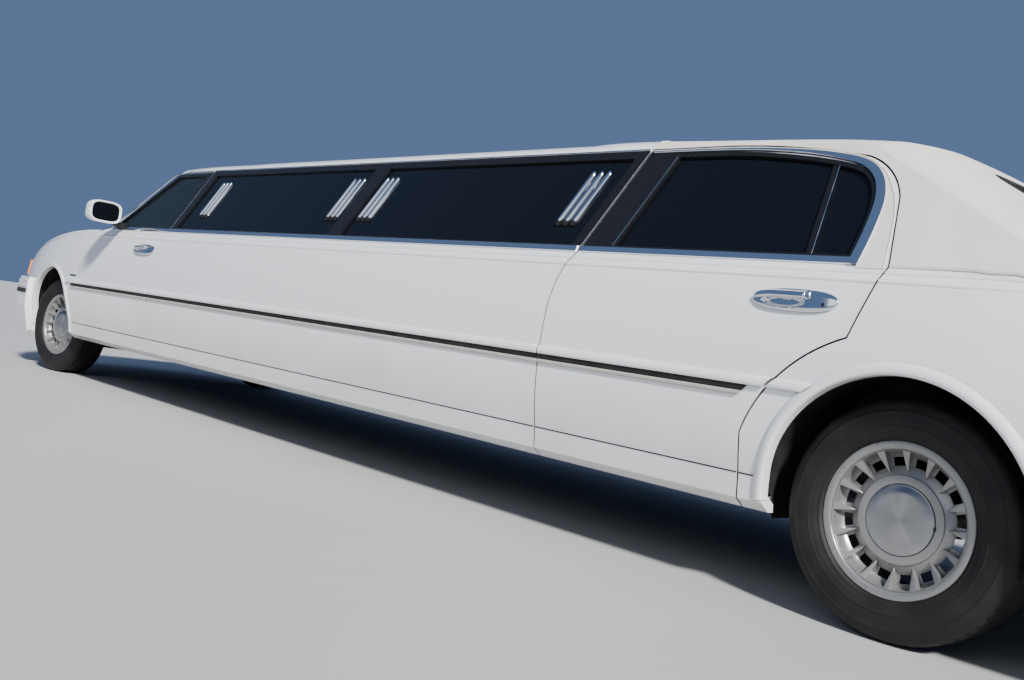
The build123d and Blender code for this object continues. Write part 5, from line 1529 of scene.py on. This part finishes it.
# Columns: place forward of the rear axle, scale
badge_steps = [(5.799, 0.5), (5.802, 0.9), (5.808, 1), (5.897, 1), (5.903, 0.9), (5.906, 0.5)]
for side_name, side in sides.items():
    stations = flank_stations([(rear_axle + u, 0.694, scale) for u, scale in badge_steps], side)
    strip(f"fender_badge_{side_name}", stations, rounded_strip(0.0026, 0.0058, 4), satin_black, "body")
print("bumper corners:", len([n for n in triangle_count if "bumper_corner" in n]))

# %% [markdown]
# ### Grille, lamps and markers
# A screen of small dark cells stands behind the grille's bars, and a bright moulding frames the grille. Each
# headlamp has a bright surround and an amber corner. The moulding is swept over the skin, so that it follows
# the nose.

# %% Grille frame, screen, lamp surrounds and markers


def end_frame(name, corners, facing, profile, finish, radius=0.02, steps=4, pitch=0.03, find=end_at):
    """A moulding swept round a closed outline on one end of the body."""
    outline = rounded(corners, radius, steps)
    found = []
    for k, corner in enumerate(outline):
        a, b = Vector(corner), Vector(outline[(k + 1) % len(outline)])
        parts = max(1, int((b - a).length / pitch))
        found += [find(*(a + (b - a) * j / parts), facing) for j in range(parts)]
    stations = stations_over([f for f in found if f], closed=True)
    mesh_object(name, *swept(stations, profile, closed=True), finish, "body", sharp=50)


def oblong(near, far, low, high):
    """Corners of an upright rectangle."""
    return [(near, low), (far, low), (far, high), (near, high)]


frame_bead = symmetric([(-0.003, -0.008), (0.004, -0.0075), (0.007, -0.003)])
thin_bead = symmetric([(-0.002, -0.004), (0.002, -0.0035), (0.0032, 0.0)])
lens = symmetric([(-0.002, -0.056), (0.0035, -0.054), (0.0060, -0.040), (0.0068, 0.0)])
low_lens = [(out, height * 0.55) for out, height in lens]
end_frame("grille_frame", oblong(-0.309, 0.309, 0.640, 0.790), 1, frame_bead, chrome)
for side_name, side in sides.items():
    lamp = oblong(side * 0.327, side * 0.690, 0.651, 0.779)
    end_frame(f"headlamp_frame_{side_name}", lamp, 1, thin_bead, chrome, 0.015)
    stations = flank_stations([(front_axle + x, 0.714) for x in spread(0.700, 0.762, 6)], side)
    strip(f"side_marker_{side_name}", stations, lens, amber_lens, "body", 50)
    stations = flank_stations([(rear_axle - x, 0.775) for x in spread(1.150, 1.215, 6)], side)
    strip(f"rear_marker_{side_name}", stations, low_lens, red_lens, "body", 50)



def screen_cell(y, z):
    """One hollow cell of the grille's screen: its rim and its smaller back."""
    x = front_axle + 0.935 + 0.055 * (1 - (y / 0.3) ** 2)
    points = []
    for dy, dz in oblong(0.001, 0.0139, 0.001, 0.0125):
        points.append((x, y + dy, z + dz))
        points.append((x - 0.010, y + 0.5 * (dy + 0.0075), z + 0.5 * (dz + 0.0065)))
    walls = [(2 * j, 2 * ((j + 1) % 4), 2 * ((j + 1) % 4) + 1, 2 * j + 1) for j in range(4)]
    return points, [*walls, (1, 3, 5, 7)]


cell_places = [(y, 0.658 + row * 0.0140) for row in range(9) for y in spread(-0.284, 0.284, 39)[:-1]]
grille_screen = joined(screen_cell(y, z) for y, z in cell_places)
mesh_object("grille_screen", *grille_screen, dull_black, "body", sharp=20)
print("grille screen cells:", len(cell_places))

# %% [markdown]
# ### Number plate, trunk trim and exhaust tips
# The plate is a pressed sheet with a raised rim, held at its four holes by bolts, and it is blank. A bright
# strip crosses the lid above it, and two exhaust tips end under the bumper.

# %% Plate, lid strip and exhaust tips
plate_x, plate_z = rear_axle - 1.400, 0.795
plate_white = Finish("plate_white", (0.72, 0.72, 0.70), 0.35, 0.2)
plate_white.mottle(22, 5, 0.3, 0.8, (0.66, 0.66, 0.63), (0.76, 0.76, 0.74))
slot_of[id(plate_white)] = "body_paint"
# Columns: half width, half height, how far out
plate_rows = [
    (0.1525, 0.0765, 0.0003), (0.1525, 0.0765, 0.0022), (0.1490, 0.0730, 0.0034), (0.1465, 0.0705, 0.0032),
    (0.1440, 0.0680, 0.0016), (0.0900, 0.0400, 0.0016),
]
plate_count = 40
points = [
    (plate_x - out, a, plate_z + b)
    for half_y, half_z, out in plate_rows
    for a, b in rounded_ring(half_y, half_z, 9, plate_count)
]
faces = row_faces(len(plate_rows), plate_count, ends=True)
mesh_object("number_plate", points, faces, plate_white, "trunk_lid", sharp=40)
bolt = [(0.0001, 0.0062), (0.0030, 0.0060), (0.0058, 0.0045), (0.0064, 0.0016), (0.0064, -0.004)]
to_the_rear = Matrix.Rotation(-pi / 2, 4, "Y")
for k, (y, z) in enumerate(((-0.0889, -0.0603), (0.0889, -0.0603), (-0.0889, 0.0603), (0.0889, 0.0603))):
    spot = Matrix.Translation((plate_x, y, plate_z + z)) @ to_the_rear
    mesh_object(f"plate_bolt_{k}", *turned(bolt, 12), chrome, "trunk_lid", spot, 30)
lid_stations = end_stations([(y, 0.908) for y in spread(-0.535, 0.535, 30)], -1)
lid_profile = symmetric([(-0.003, -0.013), (0.0030, -0.0125), (0.0058, -0.008)])
strip("lid_strip", lid_stations, lid_profile, chrome, "trunk_lid")
tip_rows = [
    (0.0240, -0.070), (0.0285, -0.066), (0.0300, -0.010), (0.0315, -0.002), (0.0300, 0.001), (0.0275, -0.001),
    (0.0265, -0.040), (0.0001, -0.042),
]
for side_name, side in sides.items():
    lamp = oblong(side * 0.568, side * 0.800, 0.706, 0.856)
    end_frame(f"tail_lamp_frame_{side_name}", lamp, -1, thin_bead, chrome, 0.015)
    tip = Matrix.Translation((rear_axle - 1.315, side * 0.52, 0.285)) @ to_the_rear
    mesh_object(f"exhaust_tip_{side_name}", *turned(tip_rows, 32), chrome, "body", tip, 30)
print("rear pieces done, total triangles:", sum(triangle_count.values()))

# %% [markdown]
# ### Screens and wipers
# Black rubber seals the windscreen and the rear window to the body. Two wipers park along the foot of the
# windscreen. Their arms bend down over the hood's rear edge, and each carries a long blade with rubber on it.

# %% Screen seals and wipers
screen_shell = surface_of("roof_panel", "padded_top", "windscreen", "backlight")


def screen_at(y, z, facing):
    """Place and outward direction on the windscreen side (1) or the rear window side (-1)."""
    return end_at(y, z, facing, screen_shell, 0.0)


seal = symmetric([(-0.012, -0.011), (0.0015, -0.0105), (0.0030, -0.006)])
# Columns: name, facing, half width at the foot, foot, half width at the head, head
screens = [("windscreen", 1, 0.806, 1.058, 0.645, 1.408), ("backlight", -1, 0.686, 1.068, 0.596, 1.351)]
for name, facing, foot_half, foot, head_half, head in screens:
    corners = [(foot_half, foot), (head_half, head), (-head_half, head), (-foot_half, foot)]
    end_frame(f"{name}_seal", corners, facing, seal, dull_black, 0.05, 5, 0.05, screen_at)

wiper_parts = [
    ("blade", symmetric([(0.004, -0.003), (0.010, -0.004), (0.014, 0.0)]), satin_black),
    ("rubber", symmetric([(0.0005, -0.001), (0.006, -0.002)]), rubber),
]
arm_profile = symmetric([(-0.003, -0.006), (0.003, -0.005), (0.004, 0.0)])
for name, pivot_y, tip_y in (("left", 0.52, -0.08), ("right", -0.10, -0.70)):
    blade_rows = []
    for t in spread(0, 1, 15):
        y = pivot_y - 0.03 + (tip_y - pivot_y) * t
        place, normal = screen_at(y, 1.078 + 0.012 * sin(pi * t), 1)
        blade_rows.append((place, normal, Vector((0, 0, 1)), 1 - 0.5 * abs(2 * t - 1) ** 4))
    for part, profile, finish in wiper_parts:
        strip(f"wiper_{part}_{name}", blade_rows, profile, finish, "body")
    middle = blade_rows[7][0] + Vector((0.012, 0, 0.006))
    foot = screen_at(pivot_y, 1.062, 1)[0] + Vector((0.030, 0, 0.004))
    arm = []
    for t in spread(0, 1, 9):
        place = foot.lerp(middle, t) + Vector((0.006, 0, 0.010)) * sin(pi * t)
        arm.append((place, Vector((0.6, 0, 0.8)), Vector((-0.8, 0, 0.6)), 1.3 - 0.6 * t))
    strip(f"wiper_arm_{name}", arm, arm_profile, satin_black, "body")
print("wipers done, pieces:", len(triangle_count))

# %% [markdown]
# ## Seats
# A car seat is foam under sewn leather. The foam pushes the cover outward between the seams, which is what a
# cloth with air pressure inside it does too. Each pad starts as a plain outline seen from the side, is
# remeshed evenly, swells for twenty frames without gravity, and then gets its sewn channels pressed in.

# %% A swelling pad


def voxel_pad(name, outline, low, high, voxel, bevel):
    """An evenly meshed block from an outline seen from the side."""
    shell = bmesh.new()
    near = [shell.verts.new((x, low, z)) for x, z in outline]
    far = [shell.verts.new((x, high, z)) for x, z in outline]
    shell.faces.new(near)
    shell.faces.new(list(reversed(far)))
    for k in range(len(outline)):
        m = (k + 1) % len(outline)
        shell.faces.new((near[k], far[k], far[m], near[m]))
    bmesh.ops.recalc_face_normals(shell, faces=shell.faces)
    bmesh.ops.bevel(shell, geom=shell.edges[:], offset=bevel, segments=2, affect="EDGES", profile=0.6)
    mesh = bpy.data.meshes.new(name)
    shell.to_mesh(mesh)
    shell.free()
    pad = new_object(name, mesh)
    even = pad.modifiers.new("even", "REMESH")
    even.mode = "VOXEL"
    even.voxel_size = voxel
    bpy.context.view_layer.update()
    graph = bpy.context.evaluated_depsgraph_get()
    evened = bpy.data.meshes.new_from_object(pad.evaluated_get(graph))
    pad.modifiers.clear()
    pad.data = evened
    return pad


swell_frames = 20


def swell(pad, cap):
    """Blows the pad up like sewn leather over foam. No point moves further than the cap."""
    rest = [v.co.copy() for v in pad.data.vertices]
    cloth = pad.modifiers.new("swell", "CLOTH")
    cloth.settings.use_pressure = True
    cloth.settings.uniform_pressure_force = 4
    cloth.settings.effector_weights.gravity = 0
    cloth.settings.quality = 4
    for step in range(1, swell_frames + 1):
        bpy.context.scene.frame_set(step)
    graph = bpy.context.evaluated_depsgraph_get()
    swollen = pad.evaluated_get(graph).data
    moved = [v.co.copy() for v in swollen.vertices]
    pad.modifiers.clear()
    for vertex, start, end in zip(pad.data.vertices, rest, moved):
        way = end - start
        vertex.co = start + way.normalized() * min(way.length, cap)
    bpy.context.scene.frame_set(1)


def stitch(pad, channels, depth, width):
    """Presses sewn channels into a pad. Channels are planes at a y, and the groove fades at the edges."""
    pad.data.update()
    normals = [v.normal.copy() for v in pad.data.vertices]
    for vertex, normal in zip(pad.data.vertices, normals):
        nearest = min((abs(vertex.co.y - y) for y in channels), default=1)
        if nearest < width * 3:
            fade = max(0, 1 - nearest / (3 * width)) ** 0.5
            vertex.co -= normal * depth / (1 + (nearest / width) ** 2) * fade


def finished_pad(name, outline, low, high, channels, voxel=0.013, bevel=0.03, cap=0.016):
    """One seat pad, swollen, stitched and smoothed."""
    pad = voxel_pad(name, outline, low, high, voxel, bevel)
    swell(pad, cap)
    stitch(pad, channels, 0.009, 0.007)
    smooth = pad.modifiers.new("smooth", "LAPLACIANSMOOTH")
    smooth.iterations = 2
    smooth.lambda_factor = 0.3
    graph = bpy.context.evaluated_depsgraph_get()
    mesh = bpy.data.meshes.new_from_object(pad.evaluated_get(graph))
    bpy.data.objects.remove(pad)
    piece = dress_mesh(name, mesh, leather, "body", None, 60)
    return piece


# %% [markdown]
# ### Front seats
# Each front seat has a cushion, a backrest and a head restraint, on a moulded plinth with side panels.

# %% Front seats


def seat_path(rows, base_x):
    """An outline moved along the car."""
    return [(base_x + x, z) for x, z in rows]


# Outlines seen from the side: forward of the front axle, height
cushion_rows = [
    (-1.135, 0.490), (-1.125, 0.560), (-1.140, 0.630), (-1.220, 0.650), (-1.420, 0.622), (-1.590, 0.612),
    (-1.610, 0.560), (-1.600, 0.480), (-1.350, 0.470),
]
back_rows = [
    (-1.585, 0.610), (-1.625, 0.760), (-1.668, 0.900), (-1.690, 1.030), (-1.705, 1.060), (-1.745, 1.070),
    (-1.780, 1.045), (-1.765, 0.850), (-1.725, 0.640), (-1.690, 0.600),
]
rest_rows = [
    (-1.692, 1.095), (-1.688, 1.160), (-1.692, 1.215), (-1.715, 1.236), (-1.745, 1.232), (-1.762, 1.190),
    (-1.762, 1.120), (-1.740, 1.088),
]
plinth_rows = [
    (-1.215, 0.402), (-1.155, 0.470), (-1.180, 0.495), (-1.640, 0.495), (-1.655, 0.450), (-1.625, 0.402),
]
seat_width = 0.560
cushion_path = seat_path(cushion_rows, front_axle)
back_path = seat_path(back_rows, front_axle)
rest_path = seat_path(rest_rows, front_axle)
for seat_name, low in (("left", 0.095), ("right", -0.655)):
    high = low + seat_width
    seams = [low + seat_width * t for t in (0.22, 0.36, 0.5, 0.64, 0.78)]
    cushion = finished_pad(f"seat_cushion_{seat_name}", cushion_path, low + 0.01, high - 0.01, seams)
    finished_pad(f"seat_back_{seat_name}", back_path, low + 0.02, high - 0.02, seams)
    finished_pad(f"head_rest_{seat_name}", rest_path, low + 0.15, high - 0.15, [], 0.011, 0.02, 0.010)
    if seat_name == "left":
        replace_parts(cushion, "front_seats")
    points = [(front_axle + x, y, z) for y in (low + 0.03, high - 0.03) for x, z in plinth_rows]
    faces = row_faces(2, len(plinth_rows), ends=True)
    mesh_object(f"seat_plinth_{seat_name}", points, faces, cabin_plastic, "body", sharp=20)

# %% [markdown]
# ### Rear seat and side bench
# The lounge has a bench along its right side and a sofa across its rear end, both with upright sewn channels.

# %% Rear seat and bench
sofa_rows = [
    (0.885, 0.470), (0.898, 0.560), (0.880, 0.650), (0.760, 0.672), (0.560, 0.680), (0.430, 0.686),
    (0.440, 0.672), (0.480, 0.668), (0.600, 0.500), (0.655, 0.415), (0.860, 0.410),
]
sofa_back_rows = [
    (0.430, 0.695), (0.350, 0.870), (0.270, 1.040), (0.240, 1.082), (0.170, 1.088), (0.140, 1.040),
    (0.150, 0.800), (0.162, 0.675), (0.300, 0.672),
]
channels = [-0.5 + 0.1 * k for k in range(11)]
sofa = finished_pad("sofa_cushion", seat_path(sofa_rows, rear_axle), -0.59, 0.59, channels, 0.015)
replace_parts(sofa, "rear_seat")
finished_pad("sofa_back", seat_path(sofa_back_rows, rear_axle), -0.59, 0.59, channels, 0.015)


def bench_pad(name, rows, start, length):
    """A long pad along the car: its outline is seen from the front and its channels cross it."""
    pad = voxel_pad(name, rows, start, start + length, 0.018, 0.03)
    swell(pad, 0.016)
    stitch(pad, [start + 0.16 * k for k in range(1, int(length / 0.16))], 0.010, 0.010)
    mesh = pad.data.copy()
    bpy.data.objects.remove(pad)
    for vertex in mesh.vertices:
        across, along, up_now = vertex.co
        vertex.co = (along, -across, up_now)
    mesh.flip_normals()
    piece = dress_mesh(name, mesh, leather, "body", None, 60)
    return piece


bench_rows = [
    (0.320, 0.430), (0.310, 0.560), (0.325, 0.635), (0.450, 0.652), (0.640, 0.655), (0.835, 0.655),
    (0.838, 0.430),
]
bench_back_rows = [
    (0.650, 0.670), (0.690, 0.820), (0.712, 0.960), (0.740, 0.978), (0.838, 0.976), (0.838, 0.665),
]
bench_start, bench_length = rear_axle + 1.49, 2.38
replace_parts(bench_pad("bench_cushion", bench_rows, bench_start, bench_length), "lounge_bench")
bench_pad("bench_back", bench_back_rows, bench_start, bench_length)
padded = [n for name, n in triangle_count.items() if any(w in name for w in ("seat_", "sofa", "bench", "rest"))]
print("padded triangles:", sum(padded))

# %% [markdown]
# ## Driver's controls
# The steering wheel shows dimly through the front door's glass: a leather rim, four spokes and a padded hub.
# Behind it the dashboard has a hooded cluster and round vents.

# %% Steering wheel and dashboard
hub_place = Vector((front_axle - 1.060, 0.370, 0.935))
column_way = (hub_place - Vector((front_axle - 0.862, 0.370, 0.880))).normalized()
across_way = Vector((0, 1, 0))
up_way = column_way.cross(across_way).normalized()
wheel_matrix = Matrix.Translation(hub_place) @ Matrix((across_way, up_way, column_way)).transposed().to_4x4()
rim_stations = []
for angle in spread(0, 2 * pi, 65)[:-1]:
    way = Vector((cos(angle), sin(angle), 0))
    rim_stations.append((way * 0.180, way, Vector((0, 0, 1)), 1))
rim_profile = [(0.0138 * cos(2 * pi * k / 12), 0.0150 * sin(2 * pi * k / 12)) for k in range(12)]
points, faces = swept(rim_stations, rim_profile, closed=True)
hand_wheel = mesh_object("hand_wheel_rim", points, faces, leather, "body", wheel_matrix, 60)
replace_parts(hand_wheel, "steering_wheel")
hub_form = [
    (0.0001, 0.012), (0.040, 0.011), (0.062, 0.006), (0.074, -0.004), (0.070, -0.020), (0.045, -0.040),
    (0.030, -0.060), (0.028, -0.185), (0.0001, -0.186),
]
mesh_object("hand_wheel_hub", *turned(hub_form, 40), cabin_plastic, "body", wheel_matrix, 40)
# Columns: radius, half width, height
spoke_rows = [(0.055, 0.020, -0.010), (0.100, 0.014, -0.008), (0.140, 0.012, -0.004), (0.172, 0.016, 0.0)]
spoke_section = [(-1, -0.004), (-0.7, 0.004), (0.7, 0.004), (1, -0.004)]


def spoke(angle):
    """One spoke of the steering wheel."""
    way, cross = Vector((cos(angle), sin(angle), 0)), Vector((-sin(angle), cos(angle), 0))
    points = [
        way * r + cross * half * a + Vector((0, 0, z + b))
        for r, half, z in spoke_rows
        for a, b in spoke_section
    ]
    return points, row_faces(len(spoke_rows), len(spoke_section), ends=True)


spokes = joined(spoke(radians(angle)) for angle in (8, 172, 228, 312))
mesh_object("hand_wheel_spokes", *spokes, cabin_plastic, "body", wheel_matrix, 40)

hood_stations = []
for t in spread(-1, 1, 15):
    arc = 1 - t * t
    place = Vector((front_axle - 0.800 - 0.030 * arc, 0.370 + 0.185 * t, 0.985 + 0.050 * arc**0.5))
    hood_stations.append((place, Vector((0, t * 0.6, 0.8)).normalized(), Vector((1, 0, 0)), 1))
hood_profile = [(0.0, -0.055), (0.008, -0.050), (0.010, 0.060), (0.0, 0.070)]
strip("cluster_hood", hood_stations, hood_profile, cabin_plastic, "body")
vent_rows = [(0.0001, 0.002), (0.020, 0.002), (0.0205, 0.006), (0.030, 0.007), (0.033, 0.004), (0.034, -0.004)]
for k, y in enumerate((0.66, 0.10, -0.10, -0.66)):
    spot = Matrix.Translation((front_axle - 0.884, y, 0.935)) @ Matrix.Rotation(radians(-106), 4, "Y")
    mesh_object(f"dash_vent_{k}", *turned(vent_rows, 28), satin_black, "body", spot, 30)
print("pieces:", len(triangle_count), "triangles:", sum(triangle_count.values()))
